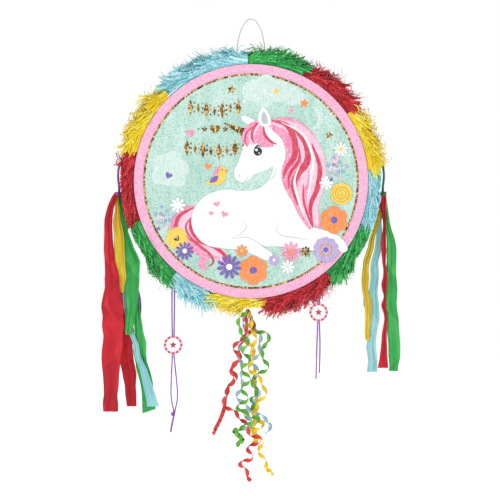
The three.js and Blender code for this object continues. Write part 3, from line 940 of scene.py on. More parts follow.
PULL_RIBBONS = [
    PullRibbon("green_front", Ribbon.GREEN, 0.443, [
        (0, 0), (-18, 25), (-1, 52), (-8, 68), (2, 84), (-8, 101), (1, 121), (-8, 138),
        (-3, 157), (-17, 174), (2, 184), (18, 191), (0, 203), (-22, 213), (-10, 227), (-20, 239)],
        (0.84, 1.0)),
    PullRibbon("red_long", Ribbon.RED, 0.436, [
        (0, 0), (-4, 28), (-1, 43), (-18, 54), (-22, 66), (-17, 78), (-22, 92), (-29, 112),
        (-27, 131), (-42, 154), (-35, 173), (-18, 185), (-6, 197), (2, 215), (20, 229),
        (2, 246), (5, 262), (-13, 274), (0, 288), (4, 303)], (0.95, 1.0)),
    PullRibbon("yellow_long", Ribbon.YELLOW, 0.399, [
        (0, 0), (5, 16), (12, 47), (9, 75), (5, 103), (14, 116), (26, 127), (30, 146),
        (20, 168), (10, 186), (26, 201), (12, 216), (24, 232), (22, 250), (31, 272), (43, 294)],
        (0.93, 1.0)),
    PullRibbon("blue_left", Ribbon.BLUE, 0.290, [
        (0, 0), (-6, 18), (-3, 38), (-8, 58), (-20, 74), (-10, 89), (-13, 104), (-8, 126),
        (-17, 150), (-6, 170), (12, 183), (28, 192), (42, 204), (30, 218)]),
    PullRibbon("red_curl", Ribbon.RED, 0.343, [
        (0, 0), (8, 20), (10, 33), (-1, 47), (-14, 61), (-12, 80), (-24, 100), (-22, 120),
        (-34, 140), (-40, 156), (-42, 176), (-50, 198), (-62, 221)], (0.68, 1.0), 3.2 * MM),
    PullRibbon("green_back", Ribbon.GREEN, 0.273, [
        (0, 0), (4, 10), (12, 34), (33, 45), (39, 58), (24, 70), (30, 86), (34, 103),
        (23, 115), (5, 127), (18, 143), (6, 158), (13, 172), (-11, 183)]),
    PullRibbon("blue_right", Ribbon.BLUE, 0.292, [
        (0, 0), (5, 16), (12, 36), (24, 54), (21, 73), (12, 92), (16, 112), (10, 134),
        (20, 152), (10, 170), (-4, 185), (4, 202), (-6, 218)]),
    PullRibbon("yellow_back", Ribbon.YELLOW, 0.439, [
        (0, 0), (-4, 16), (3, 36), (-2, 56), (10, 76), (5, 96), (14, 116), (12, 138),
        (18, 158), (10, 178), (16, 196), (8, 214), (16, 232), (8, 248)], (0.66, 1.0), 4.6 * MM),
]


# ---- the tagged pull strings ----


@dataclass
class PullString:
    """Two strands of satin cord with a round tag threaded between two discs.

    Attributes:
        label: Left or right.
        x: Where the string leaves the rim.
        top: The height that its drops are measured from.
        tag_drop: How far down the tag's middle hangs.
        strands: Each strand's points, as millimetres right, behind and down.
        lengths: Each strand's real length; not used.
        knot_drop: How far down the strands are tied together, if they are.
    """

    label: str
    x: float
    top: float
    tag_drop: float
    strands: list[list[Point]]
    lengths: list[float]
    knot_drop: float | None = None

    DIAMETER = 2.4 * MM
    TAG_FACE_Y = -27.5 * MM

    def build(self) -> None:
        """Make the strands, the knot and the print on the tag."""
        body = f"{self.label}_pull_string"
        finish = Ribbon.PURPLE.value.material()
        for number, strand in enumerate(self.strands, start=1):
            points = [(self.x + x * MM, STRING_Y + y * MM, self.top - z * MM) for x, y, z in strand]
            line = smooth_line(points, 1.5 * MM)
            shape = sweep(line, round_section(self.DIAMETER, 10), carried_sides(line, (1, 0, 0)))
            piece = make_piece(f"{self.label}_satin_strand_{number}", shape, [finish])
            hand_over(piece, body, "ribbon_purple", f"{self.label}_string_{number}")
        if self.knot_drop is not None:
            self.tie_knot(body, finish)
        self.print_tag(body)

    def tie_knot(self, body: str, finish: Surface) -> None:
        """Tie the strands together with a few tight turns."""
        top = (self.x - 0.4 * MM, STRING_Y + 1.2 * MM, self.top - self.knot_drop)
        line = three_turns(top, 2.8 * MM, 2.6 * MM, 5 * MM, 80)
        shape = sweep(line, round_section(1.9 * MM, 8), carried_sides(line, (0, 0, 1)))
        hand_over(make_piece(f"{self.label}_string_knot", shape, [finish]), body, "ribbon_purple")

    def print_tag(self, body: str) -> None:
        """Print a rosy edge, a ring of dots and a star on each disc of the tag."""
        middle = Vector((self.x, 0, self.top - self.tag_drop))
        for face, y, towards in (("front", self.TAG_FACE_Y, -1), ("back", STRING_Y + 2 * MM, 1)):
            page = Page(middle, y, towards)
            page.ring(Ink.TAG_EDGE, (0, 0), 16.3, 12.2)
            for i in range(12):
                page.disc(Ink.TAG_DOT, round_point((0, 0), 14.5, math.tau * i / 12), 1.9, 12)
            page.star(Ink.TAG_DOT, (0, 0), 6.6, 3.0)
            page.press(f"{self.label}_tag_print_{face}", body, "tag_paper")


PULL_STRINGS = [
    PullString("left", -137 * MM, -445.976 * MM, 131.5 * MM, [
        [(-1.8, 0, 0), (-2.2, 0, 60), (-1.6, 0, 112), (-1.6, 0, 150), (-3.9, 0, 217),
         (0.8, 0, 250), (-2, 0, 268), (-5, 0, 285)],
        [(1.8, 0, 0), (2.2, 0, 60), (1.6, 0, 112), (1.6, 0, 150), (7.5, 1, 217),
         (3, 3, 248), (-1, 3, 268), (-4.4, 3, 286)]], [0.286, 0.288], 251 * MM),
    PullString("right", 119 * MM, -460.109 * MM, 60 * MM, [
        [(-1.8, 0, 0), (-1.6, 0, 40), (-1.6, 0, 80), (-3, 0, 120), (-4.4, 0, 177)],
        [(1.8, 0, 0), (1.6, 0, 40), (1.6, 0, 80), (2.5, 0, 120), (1.4, 0, 167)]], [0.177, 0.167]),
]


# ---- printed shapes ----


class Ink(Enum):
    """The inks of the picture and the tags, and the foil stamped over them."""

    WHITE = PrintFinish("ink_white", "#ffffff", 0.0)
    CLOUD = PrintFinish("ink_cloud", "#c3e2d8", 0.6, 0.35)
    GREY = PrintFinish("ink_grey", "#bcc5cb", 0.0)
    DARK = PrintFinish("ink_dark", "#1d1a2c", 0.0, 0.02)
    BLUSH = PrintFinish("ink_blush", "#f6bcd4", 0.4, 0.3)
    PINK = PrintFinish("ink_pink", "#f07fae", 0.45, 0.25)
    HOT_PINK = PrintFinish("ink_hot_pink", "#d30f4c", 0.1)
    ORANGE = PrintFinish("ink_orange", "#f58a33", 0.1)
    YELLOW = PrintFinish("ink_yellow", "#f7d02f", 0.2)
    AMBER = PrintFinish("ink_amber", "#d69a1c", 0.1)
    PURPLE = PrintFinish("ink_purple", "#6a4fae", 0.1)
    LILAC = PrintFinish("ink_lilac", "#b39fd8", 0.3, 0.25)
    SKY = PrintFinish("ink_sky", "#86add8", 0.2)
    TAG_EDGE = PrintFinish("tag_edge_ink", "#f0a3b6", 0.0)
    TAG_DOT = PrintFinish("tag_dot_ink", "#9c1428", 0.0)
    GOLD = GOLD


@dataclass
class Page:
    """A flat face that shapes are printed on, in millimetres right and up from its middle.

    Attributes:
        middle: The page's middle.
        y: Where the page's surface lies from front to back.
        towards: -1 if it faces the front and 1 if it faces the back.
        count: How many shapes have been printed, because each lies over the last.
        wet: The shapes printed since the last press, with their inks.
    """

    middle: Vector
    y: float
    towards: int = -1
    count: int = 0
    wet: list[tuple[Shape, Ink]] = field(default_factory=list)

    FIRST_INK = 0.1 * MM
    NEXT_INK = 0.006 * MM
    PETAL = ((0.05, 0.0), (0.45, 0.7), (0.78, 1.0), (1.0, 0.45), (1.0, -0.45), (0.78, -1.0), (0.45, -0.7))

    def press(self, name: str, body: str, slot: str) -> None:
        """Make one piece of everything printed since the last press.

        Args:
            name: The piece's name.
            body: The CAD body that it moves with.
            slot: The record's material slot, which is passed on but not used.
        """
        inks = list(dict.fromkeys(ink for _, ink in self.wet))
        whole = joined(shape.painted(inks.index(ink)) for shape, ink in self.wet)
        self.wet = []
        hand_over(make_piece(name, whole, [ink.value.material() for ink in inks], smooth=False), body, slot)

    def lay(self, ink: Ink, outline: Sequence[FlatPoint], faces: Iterable[tuple[int, ...]]) -> None:
        """Lay flat faces on the page, just over the last shape and facing out of it.

        Args:
            ink: Their ink.
            outline: The faces' points, in millimetres.
            faces: The points of each face, in either order.
        """
        self.count += 1
        y = self.y + self.towards * (self.FIRST_INK + self.NEXT_INK * self.count)
        points = np.array([(self.middle.x + x * MM, y, self.middle.z + z * MM) for x, z in outline])
        out = []
        for face in faces:
            normal = np.cross(points[face[1]] - points[face[0]], points[face[2]] - points[face[0]])
            out.append(face if normal[1] * self.towards > 0 else face[::-1])
        self.wet.append((Shape(points, out), ink))

    def flat(self, ink: Ink, outline: Sequence[FlatPoint]) -> None:
        """Fill an outline."""
        self.lay(ink, outline, tessellate_polygon([[Vector((x, z, 0)) for x, z in outline]]))

    def blob(self, ink: Ink, points: Sequence[FlatPoint], fineness: int = 8) -> None:
        """Fill a closed smooth outline through a few points."""
        p = np.asarray(points, float)
        t = np.linspace(0, 1, fineness, endpoint=False)[:, None]
        spans = [curve(*(p[(i + k) % len(p)] for k in (-1, 0, 1, 2)), t) for i in range(len(p))]
        self.flat(ink, [tuple(q) for q in np.vstack(spans)])

    def stroke(self, ink: Ink, points: Sequence[FlatPoint], width: float, ends: float = 0.05) -> None:
        """Draw a brush stroke, full in the middle and thin at both ends.

        Args:
            ink: Its ink.
            points: A few points that it passes through.
            width: Its width in the middle.
            ends: How wide its ends are, as a share of the middle.
        """
        line = smooth_line(points, max(width / 3, 1.6))
        swell = ends + (1 - ends) * np.sin(math.pi * np.linspace(0, 1, len(line))) ** 0.7
        way = tangents(line)
        out = np.stack([-way[:, 1], way[:, 0]], axis=1) * (swell * width / 2)[:, None]
        n = len(line)
        quads = [(i, i + 1, n + i + 1, n + i) for i in range(n - 1)]
        self.lay(ink, np.vstack([line + out, line - out]), quads)

    def disc(self, ink: Ink, at: FlatPoint, radius: float, sides: int = 24) -> None:
        """Fill a circle."""
        self.flat(ink, [round_point(at, radius, math.tau * i / sides) for i in range(sides)])

    def ring(self, ink: Ink, at: FlatPoint, outside: float, inside: float, sides: int = 48) -> None:
        """Fill the room between two circles."""
        turns = [math.tau * i / sides for i in range(sides)]
        points = [round_point(at, radius, turn) for radius in (outside, inside) for turn in turns]
        pairs = [(i, (i + 1) % sides) for i in range(sides)]
        self.lay(ink, points, [(i, sides + i, sides + j, j) for i, j in pairs])

    def star(self, ink: Ink, at: FlatPoint, tip: float, notch: float, turn: float = 0.0) -> None:
        """Fill a star of five points with straight sides."""
        corners = [(math.pi * i / 5 + math.radians(turn), notch if i % 2 else tip) for i in range(10)]
        self.flat(ink, [round_point(at, radius, angle) for angle, radius in corners])

    def heart(self, ink: Ink, at: FlatPoint, size: float, turn: float = 0.0) -> None:
        """Fill a heart of a given height, turned in degrees."""
        angle = math.radians(turn)
        outline = []
        for i in range(28):
            t = math.tau * i / 28
            x = 16 * math.sin(t) ** 3
            z = 13 * math.cos(t) - 5 * math.cos(2 * t) - 2 * math.cos(3 * t) - math.cos(4 * t)
            across = x * math.cos(angle) + z * math.sin(angle)
            up = z * math.cos(angle) - x * math.sin(angle)
            outline.append((at[0] + across * size / 30, at[1] + up * size / 30))
        self.flat(ink, outline)

    def petals(
        self, ink: Ink, at: FlatPoint, reach: float, count: int, width: float, turn: float = 0.0
    ) -> None:
        """Fill round petals set in a ring.

        Args:
            ink: Their ink.
            at: The flower's middle.
            reach: From the middle to a petal's tip.
            count: How many petals there are.
            width: A petal's widest part, as a share of its length.
            turn: The first petal's angle in degrees.
        """
        for i in range(count):
            angle = math.radians(turn + 360 * i / count)
            half = width * reach / 2
            outline = []
            for along, across in self.PETAL:
                x, z = round_point(at, along * reach, angle)
                outline.append((x + math.cos(angle) * across * half, z - math.sin(angle) * across * half))
            self.blob(ink, outline, 4)


def mint_page() -> Page:
    """The front of the mint sheet."""
    return Page(Vector((0, 0, CENTRE_Z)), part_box("mint_face_sheet")[0].y)


# ---- the printed picture ----


@dataclass
class FaceArt:
    """The picture on the mint sheet: a resting unicorn among flowers under a starry sky.

    Attributes:
        page: The sheet that it is printed on.
    """

    page: Page

    def build(self) -> None:
        """Print each part of the picture as its own piece."""
        parts = (self.sky, self.garland, self.tail, self.unicorn, self.mane, self.bird, self.flowers)
        for part in parts:
            part()
            self.page.press(f"print_{part.__name__}", "drum", "mint_card")

    def sky(self) -> None:
        """Clouds, a crescent moon, stars and small hearts."""
        page = self.page
        for x, z, radius in (
            (4, 158, 20), (26, 170, 17), (22, 146, 18), (48, 158, 20), (70, 150, 17), (84, 146, 11),
            (-154, 30, 17), (-136, 38, 16), (-124, 22, 15), (-142, 10, 19), (-160, 8, 14), (-126, 2, 12),
        ):
            page.disc(Ink.CLOUD, (x, z), radius)
        moon = [(106, 130), (121, 122), (126, 106), (117, 93), (102, 90), (114, 99), (117, 111), (112, 122)]
        page.blob(Ink.CLOUD, moon)
        for ink, x, z, tip in (
            (Ink.GOLD, -34, 160, 9), (Ink.YELLOW, 44, 157, 7), (Ink.ORANGE, 93, 136, 9.5),
            (Ink.PINK, 70, 124, 6), (Ink.GOLD, 137, 80, 8), (Ink.WHITE, -12, 140, 4), (Ink.WHITE, 24, 158, 4),
        ):
            page.star(ink, (x, z), tip, tip * 0.45, turn=8)
        page.heart(Ink.PINK, (-106, 84), 15, -12)
        page.heart(Ink.ORANGE, (-75, 26), 12, 10)
        page.heart(Ink.PURPLE, (-144, 10), 12, 25)

    def garland(self) -> None:
        """Two rows of foil lozenges with beads between them, and a heart with stars between the rows."""
        page = self.page
        for middle, height, count, x_from, x_to in ((126, 30, 7, -106, -22), (55, 30, 8, -112, -14)):
            pitch = (x_to - x_from) / (count - 1)
            for i in range(count):
                x = x_from + pitch * i
                z = middle + 3 * math.cos(math.tau * i / (count - 1))
                up = height * (0.5 if i % 2 == 0 else 0.3)
                out = up * 0.34
                page.flat(Ink.GOLD, [(x, z + up), (x + out, z), (x, z - up), (x - out, z)])
                if i < count - 1:
                    for rise in (-8, 0, 8):
                        page.disc(Ink.GOLD, (x + pitch / 2, z + rise), 1.7, 12)
        page.heart(Ink.GOLD, (-63, 91), 17)
        for side in (-1, 1):
            page.star(Ink.GOLD, (-63 + side * 18, 91), 6, 2.6)
            page.disc(Ink.GOLD, (-63 + side * 29, 91), 1.8, 12)

    def locks(self, *hairs: tuple[float, Ink, list[FlatPoint]]) -> None:
        """Locks of hair, each a brush stroke over the last, as a width, an ink and a few points."""
        for width, ink, points in hairs:
            self.page.stroke(ink, points, width, ends=0.12)

    def tail(self) -> None:
        """The tail, which sweeps round under the body."""
        self.locks(
            (30, Ink.PINK, [(-92, -44), (-122, -60), (-126, -92), (-96, -112), (-62, -124), (-40, -146)]),
            (22, Ink.BLUSH, [(-94, -48), (-116, -68), (-110, -96), (-78, -114), (-50, -130), (-48, -152)]),
            (16, Ink.PINK, [(-118, -92), (-98, -116), (-80, -130), (-88, -148), (-76, -154)]),
            (7, Ink.HOT_PINK, [(-100, -46), (-126, -62), (-132, -88), (-122, -104)]),
            (8, Ink.HOT_PINK, [(-94, -54), (-106, -76), (-94, -100), (-62, -116), (-42, -134), (-36, -146)]),
            (5, Ink.HOT_PINK, [(-112, -98), (-92, -112), (-72, -128), (-66, -142), (-76, -150)]),
            (4, Ink.HOT_PINK, [(-104, -62), (-114, -80), (-104, -100), (-84, -112)]),
        )

    def unicorn(self) -> None:
        """The white unicorn, lying down and looking back over its shoulder."""
        page = self.page
        front_leg = [
            (82, -78), (112, -82), (140, -90), (160, -102), (169, -118), (160, -125), (147, -116),
            (122, -108), (86, -110),
        ]
        body = [
            (46, 90), (64, 66), (76, 34), (84, 0), (94, -36), (104, -68), (104, -96), (86, -112), (42, -114),
            (0, -112), (-42, -116), (-76, -112), (-98, -92), (-104, -66), (-94, -40), (-72, -22), (-46, -15),
            (-14, -17), (10, -14), (28, -2), (38, 18), (40, 44),
        ]
        folded_leg = [(44, -94), (78, -98), (112, -106), (132, -116), (126, -125), (98, -120), (60, -116)]
        hind_leg = [
            (-48, -104), (-16, -100), (14, -112), (34, -124), (40, -134), (28, -138), (8, -130), (-18, -120),
            (-52, -117),
        ]
        far_ear = [(2, 96), (-12, 104), (-17, 113), (-4, 112), (8, 104)]
        head = [
            (4, 94), (-8, 76), (-15, 54), (-22, 34), (-29, 18), (-27, 5), (-16, -2), (-4, 2), (8, 13),
            (24, 19), (40, 28), (54, 44), (58, 68), (46, 92), (24, 102),
        ]
        for outline in (front_leg, body, folded_leg, hind_leg, far_ear, head):
            page.blob(Ink.WHITE, outline)
        for crease in (
            [(-16, -64), (-8, -80), (-18, -92), (-36, -102)],
            [(-36, -102), (-10, -98), (10, -106), (30, -120)],
            [(54, -70), (44, -82), (52, -94), (78, -99), (108, -104)],
            [(38, -112), (60, -117), (92, -120), (118, -124)],
            [(-80, -112), (-50, -118), (-18, -121), (8, -131), (26, -138)],
            [(46, 26), (40, 8), (30, -3)],
            [(-15, -3), (-8, 2), (-5, 10)],
        ):
            page.stroke(Ink.GREY, crease, 1.7)
        page.stroke(Ink.GREY, [(-22, 12), (-20, 9), (-21, 7)], 2.4, 0.5)
        self.eye()
        self.horn()
        page.heart(Ink.PINK, (-60, -40), 11, -10)
        page.heart(Ink.PINK, (-70, -56), 9, 15)
        page.heart(Ink.PINK, (-46, -58), 12, 20)

    def eye(self) -> None:
        """A round dark eye with two glints and three lashes."""
        page = self.page
        page.disc(Ink.DARK, (12, 52), 7.6)
        page.disc(Ink.WHITE, (9.6, 54.6), 2.4, 12)
        page.disc(Ink.WHITE, (14.4, 49), 1.3, 12)
        for lash in (
            [(5, 57), (12, 62), (20, 60)],
            [(17, 60), (22, 63), (25, 67)],
            [(14, 62), (17, 66), (18, 70)],
        ):
            page.stroke(Ink.DARK, lash, 3.0)

    def horn(self) -> None:
        """A foil horn with dark turns round it."""
        base_low, base_high, tip = (-12, 76), (-3, 90), (-50, 103)
        self.page.flat(Ink.GOLD, [base_low, base_high, tip])
        for i in range(5):
            share = 0.12 + 0.18 * i
            low = tuple(a + (b - a) * share for a, b in zip(base_low, tip))
            high = tuple(a + (b - a) * (share + 0.08) for a, b in zip(base_high, tip))
            self.page.stroke(Ink.DARK, [low, high], 1.8 * (1 - share) + 0.5, 0.6)

    def mane(self) -> None:
        """The mane and forelock, in broad pale locks with bright ones over them, and the near ear."""
        self.locks(
            (36, Ink.PINK, [(30, 104), (72, 98), (102, 62), (110, 16), (100, -24), (110, -60), (120, -84)]),
            (34, Ink.PINK, [(26, 100), (60, 92), (84, 58), (92, 18), (82, -16), (92, -54), (104, -84)]),
            (30, Ink.BLUSH, [(40, 104), (84, 88), (112, 46), (116, 0), (108, -40), (116, -78)]),
            (24, Ink.PINK, [(34, 96), (62, 76), (72, 44), (64, 12), (70, -16), (84, -46)]),
            (12, Ink.BLUSH, [(36, 102), (70, 86), (92, 50), (94, 10), (86, -22), (96, -58), (106, -82)]),
            (11, Ink.HOT_PINK, [(36, 106), (62, 98), (76, 72), (76, 44), (62, 22), (56, 4)]),
            (12, Ink.HOT_PINK, [(74, 92), (96, 64), (98, 34), (80, 10), (74, -10), (82, -42)]),
            (6, Ink.HOT_PINK, [(84, 60), (84, 36), (68, 12), (66, -14)]),
            (9, Ink.HOT_PINK, [(106, 66), (120, 26), (116, -12), (104, -44), (108, -80)]),
            (4, Ink.HOT_PINK, [(92, -4), (92, -34), (100, -62), (108, -82)]),
            (4, Ink.WHITE, [(52, 104), (90, 82), (108, 40), (104, 0), (98, -34)]),
            (4, Ink.WHITE, [(86, 30), (76, 0), (84, -36), (94, -64)]),
        )
        self.locks(
            (20, Ink.PINK, [(24, 104), (4, 94), (-8, 76), (-6, 60)]),
            (20, Ink.PINK, [(20, 104), (12, 84), (22, 68), (40, 62)]),
            (10, Ink.BLUSH, [(18, 102), (4, 88), (0, 72), (4, 62)]),
            (5, Ink.HOT_PINK, [(16, 106), (4, 92), (2, 76), (8, 64)]),
            (5, Ink.HOT_PINK, [(22, 98), (24, 82), (34, 70), (46, 64)]),
            (3, Ink.HOT_PINK, [(4, 96), (-8, 84), (-10, 70), (-6, 62)]),
        )
        self.page.blob(Ink.WHITE, [(16, 98), (13, 114), (21, 129), (32, 116), (34, 98)])
        self.page.blob(Ink.GREY, [(20, 101), (18, 113), (22, 122), (28, 113), (29, 101)])

    def bird(self) -> None:
        """A small round songbird."""
        page = self.page
        body = [(-46, 18), (-44, 6), (-54, -6), (-68, -6), (-80, -2), (-70, 2), (-62, 10), (-58, 20)]
        page.blob(Ink.YELLOW, body)
        page.disc(Ink.YELLOW, (-52, 18), 8.4)
        page.blob(Ink.PINK, [(-54, 27), (-63, 20), (-66, 8), (-60, 10), (-56, 18)])
        page.blob(Ink.PURPLE, [(-58, 10), (-60, 0), (-72, -3), (-68, 6)])
        page.flat(Ink.ORANGE, [(-45, 21), (-39, 18), (-45, 16)])
        page.disc(Ink.DARK, (-50, 20), 1.4, 10)

    def daisy(self, at: FlatPoint, reach: float, count: int, petal: Ink, heart: Ink) -> None:
        """A flower with a round heart, and petals that are broad if it has few and slim if it has many."""
        width = (5.0 if count < 8 else 3.3) / count
        self.page.petals(petal, at, reach, count, width)
        self.page.disc(heart, at, reach * 0.26, 16)

    def flowers(self) -> None:
        """The flowers and sprigs along the bottom and both sides."""
        for at, reach, count, petal, heart in (
            ((4, -156), 25, 6, Ink.ORANGE, Ink.PURPLE),
            ((145, -68), 24, 6, Ink.ORANGE, Ink.PURPLE),
            ((-38, -150), 21, 11, Ink.PURPLE, Ink.WHITE),
            ((-130, -100), 19, 7, Ink.YELLOW, Ink.GOLD),
            ((-116, -122), 16, 11, Ink.PURPLE, Ink.WHITE),
            ((70, -124), 18, 10, Ink.PINK, Ink.ORANGE),
            ((-16, -122), 11, 8, Ink.ORANGE, Ink.YELLOW),
            ((96, -123), 9, 8, Ink.GOLD, Ink.GOLD),
            ((40, -138), 9, 6, Ink.LILAC, Ink.WHITE),
            ((157, 56), 12, 9, Ink.WHITE, Ink.YELLOW),
            ((132, -3), 12, 8, Ink.WHITE, Ink.WHITE),
            ((-128, -42), 13, 8, Ink.WHITE, Ink.WHITE),
            ((64, -150), 12, 8, Ink.WHITE, Ink.CLOUD),
            ((148, 38), 7, 6, Ink.BLUSH, Ink.PINK),
        ):
            self.daisy(at, reach, count, petal, heart)
        self.rose((158, -22), 19)
        self.rosette((131, -120), 22)
        for at in ((150, 20), (-152, -66)):
            self.sprig(at)

    def rose(self, at: FlatPoint, radius: float) -> None:
        """A yellow rose drawn as a spiral on a scalloped disc."""
        self.page.petals(Ink.YELLOW, at, radius, 9, 0.8)
        self.page.disc(Ink.YELLOW, at, radius * 0.9)
        spiral = [round_point(at, radius * (0.08 + 0.8 * i / 34), 0.55 * i) for i in range(34)]
        self.page.stroke(Ink.AMBER, spiral, 1.8, 0.5)

    def rosette(self, at: FlatPoint, radius: float) -> None:
        """A lilac flower with two rings of petals."""
        self.page.petals(Ink.LILAC, at, radius, 10, 0.62)
        self.page.petals(Ink.AMBER, at, radius * 0.55, 10, 0.4, 18)
        self.page.petals(Ink.LILAC, at, radius * 0.4, 8, 0.6)
        self.page.disc(Ink.PURPLE, at, radius * 0.2, 16)

    def sprig(self, at: FlatPoint) -> None:
        """A spray of small blossoms on bending stalks."""
        inks = (Ink.LILAC, Ink.SKY, Ink.BLUSH, Ink.SKY, Ink.LILAC, Ink.PURPLE, Ink.SKY)
        for i, ink in enumerate(2 * inks):
            reach = 3 + 1.4 * i
            bloom = round_point(at, reach, 2.4 * i)
            self.page.stroke(Ink.WHITE, [at, (bloom[0], at[1] + reach * 0.4), bloom], 0.6, 0.4)
            self.page.petals(ink, bloom, 3.1, 5, 0.8, 31 * i)


# ---- the crepe fringe ----


def tail_shape(w: Wires, length: object, width: object, bend: object) -> Socket:
    """Wire one cut tail of crepe: a narrow strip along +Y that bends towards +Z.

    Args:
        w: The tree.
        length: The tail's length.
        width: Its width at the root.
        bend: How far it turns from root to tip, in radians, and never 0.

    Returns:
        The tail as an instance.
    """
    strip = w.add(
        "GeometryNodeMeshGrid", {"Size X": width, "Size Y": 1.0, "Vertices X": 2, "Vertices Y": 8}
    ).outputs["Mesh"]
    place = w.add("ShaderNodeSeparateXYZ", {0: w.add("GeometryNodeInputPosition").outputs[0]})
    along = w.math("ADD", place.outputs[1], 0.5)
    turn = w.math("MULTIPLY", along, bend)
    radius = w.math("DIVIDE", length, bend)
    forward = w.math("MULTIPLY", radius, w.math("SINE", turn))
    up = w.math("MULTIPLY", radius, w.math("SUBTRACT", 1.0, w.math("COSINE", turn)))
    narrowing = w.math("SUBTRACT", 1.0, w.math("MULTIPLY", along, 0.45))
    across = w.math("MULTIPLY", place.outputs[0], narrowing)
    bent = w.add("ShaderNodeCombineXYZ", {0: across, 1: forward, 2: up}).outputs[0]
    shaped = w.add("GeometryNodeSetPosition", {"Geometry": strip, "Position": bent})
    return w.add("GeometryNodeGeometryToInstance", {0: shaped.outputs[0]}).outputs[0]


FRINGE_INPUTS = (
    "Tail length", "Tail width", "Curl", "Tails per square metre", "Lowest rise", "Highest rise",
    "Stray", "Roll", "Loft", "Comb",
)


def fringe_tree() -> bpy.types.NodeTree:
    """Wire the tree that plants crepe tails on a curved strip of rim.

    Returns:
        A tree that keeps the strip as a core and covers it with combed, curled tails.
    """
    w = Wires("crepe_fringe")
    core = w.entry.outputs["Geometry"]
    asked = {name: w.ask(name) for name in FRINGE_INPUTS}
    seed = w.ask("Seed", "NodeSocketInt")
    crepe = w.ask("Crepe", "NodeSocketMaterial")

    def draw(number: int, low: object, high: object, kind: str = "FLOAT") -> Socket:
        """One of each tail's own random values."""
        return w.chance(low, high, w.math("ADD", seed, number), kind)

    planting = w.add("GeometryNodeInputNamedAttribute", {0: "planting"}, data_type="FLOAT").outputs[0]
    density = w.math("MULTIPLY", planting, asked["Tails per square metre"])
    sown = w.add(
        "GeometryNodeDistributePointsOnFaces",
        {"Mesh": core, "Density": density, "Seed": seed},
        distribute_method="RANDOM",
    )
    place = w.add("GeometryNodeInputPosition").outputs[0]
    from_middle = w.vector("SUBTRACT", place, (0, 0, CENTRE_Z))
    radial = w.vector("NORMALIZE", w.vector("MULTIPLY", from_middle, (1, 0, 1)))
    comb_axis = w.add("ShaderNodeCombineXYZ", {1: asked["Comb"]}).outputs[0]
    downwards = w.vector("CROSS_PRODUCT", comb_axis, radial)
    tufts = w.add("ShaderNodeTexNoise", {"Vector": place, "Scale": 55.0, "Detail": 1.0}).outputs[0]
    tuft_rise = w.math("MULTIPLY", w.math("SUBTRACT", tufts, 0.5), 1.8)
    rise = w.math("ADD", draw(1, asked["Lowest rise"], asked["Highest rise"]), tuft_rise)
    stray = draw(2, w.math("MULTIPLY", asked["Stray"], -1), asked["Stray"])
    aside = w.add("ShaderNodeCombineXYZ", {1: stray}).outputs[0]
    way = w.vector("ADD", w.vector("ADD", downwards, w.times(radial, rise)), aside)
    along = w.add("FunctionNodeAlignRotationToVector", {"Vector": way}, axis="Y").outputs[0]
    lean = w.times(draw(3, (-1, -1, -1), (1, 1, 1), "FLOAT_VECTOR"), asked["Roll"])
    facing = w.vector("ADD", sown.outputs["Normal"], lean)
    rotation = w.add(
        "FunctionNodeAlignRotationToVector",
        {"Rotation": along, "Vector": facing},
        axis="Z",
        pivot_axis="Y",
    ).outputs[0]
    lift = w.times(radial, w.math("MULTIPLY", draw(4, 0.0, asked["Loft"]), tufts))
    lifted = w.add("GeometryNodeSetPosition", {"Geometry": sown.outputs[0], "Offset": lift})
    toned = w.add(
        "GeometryNodeStoreNamedAttribute",
        {"Geometry": lifted.outputs[0], "Name": "tone", "Value": draw(5, 0.0, 1.0)},
        data_type="FLOAT",
        domain="POINT",
    )
    bends = (0.35, -0.5, 0.9, -0.25, 0.6, -1.2, 2.4, 4.6)
    tails = w.add("GeometryNodeJoinGeometry")
    for bend in bends:
        curled = w.math("MULTIPLY", asked["Curl"], bend)
        w.tree.links.new(tail_shape(w, asked["Tail length"], asked["Tail width"], curled), tails.inputs[0])
    planted = w.add(
        "GeometryNodeInstanceOnPoints",
        {
            "Points": toned.outputs[0],
            "Instance": tails.outputs[0],
            "Pick Instance": True,
            "Instance Index": draw(6, 0, len(bends) - 1, "INT"),
            "Rotation": rotation,
            "Scale": w.times((1, 1, 1), draw(7, 0.55, 1.25)),
        },
    )
    whole = w.add("GeometryNodeJoinGeometry")
    real = w.add("GeometryNodeRealizeInstances", {0: planted.outputs[0]})
    w.tree.links.new(real.outputs[0], whole.inputs[0])
    w.tree.links.new(core, whole.inputs[0])
    papered = w.add("GeometryNodeSetMaterial", {"Geometry": whole.outputs[0], "Material": crepe})
    w.feed(w.exit.inputs["Geometry"], papered.outputs[0])
    return w.tree


Zone = Callable[[np.ndarray], np.ndarray]

FRINGE_HALF_DEPTH = 48.5 * MM
HINGE_FOLD = polar(HINGE_RADIUS - 1 * MM, DOOR_HINGE)


def drum_radii(points: np.ndarray) -> np.ndarray:
    """How far each point is from the drum's axis."""
    return np.hypot(points[:, 0], points[:, 2] - CENTRE_Z)


def along_and_aside(points: np.ndarray, start: np.ndarray, way: np.ndarray) -> tuple[np.ndarray, np.ndarray]:
    """How far along a straight line from its start each point is, and how far from the line."""
    away = points - start
    along = away @ way
    return along, np.linalg.norm(away - along[:, None] * way, axis=1)


def edge_room(points: np.ndarray) -> np.ndarray:
    """The room in front of the printed sheet, behind the back and past the fringe's own edges."""
    depth = np.abs(points[:, 1])
    return (depth > FRINGE_HALF_DEPTH) | ((depth > HALF_DEPTH) & (drum_radii(points) < FACE_RADIUS))


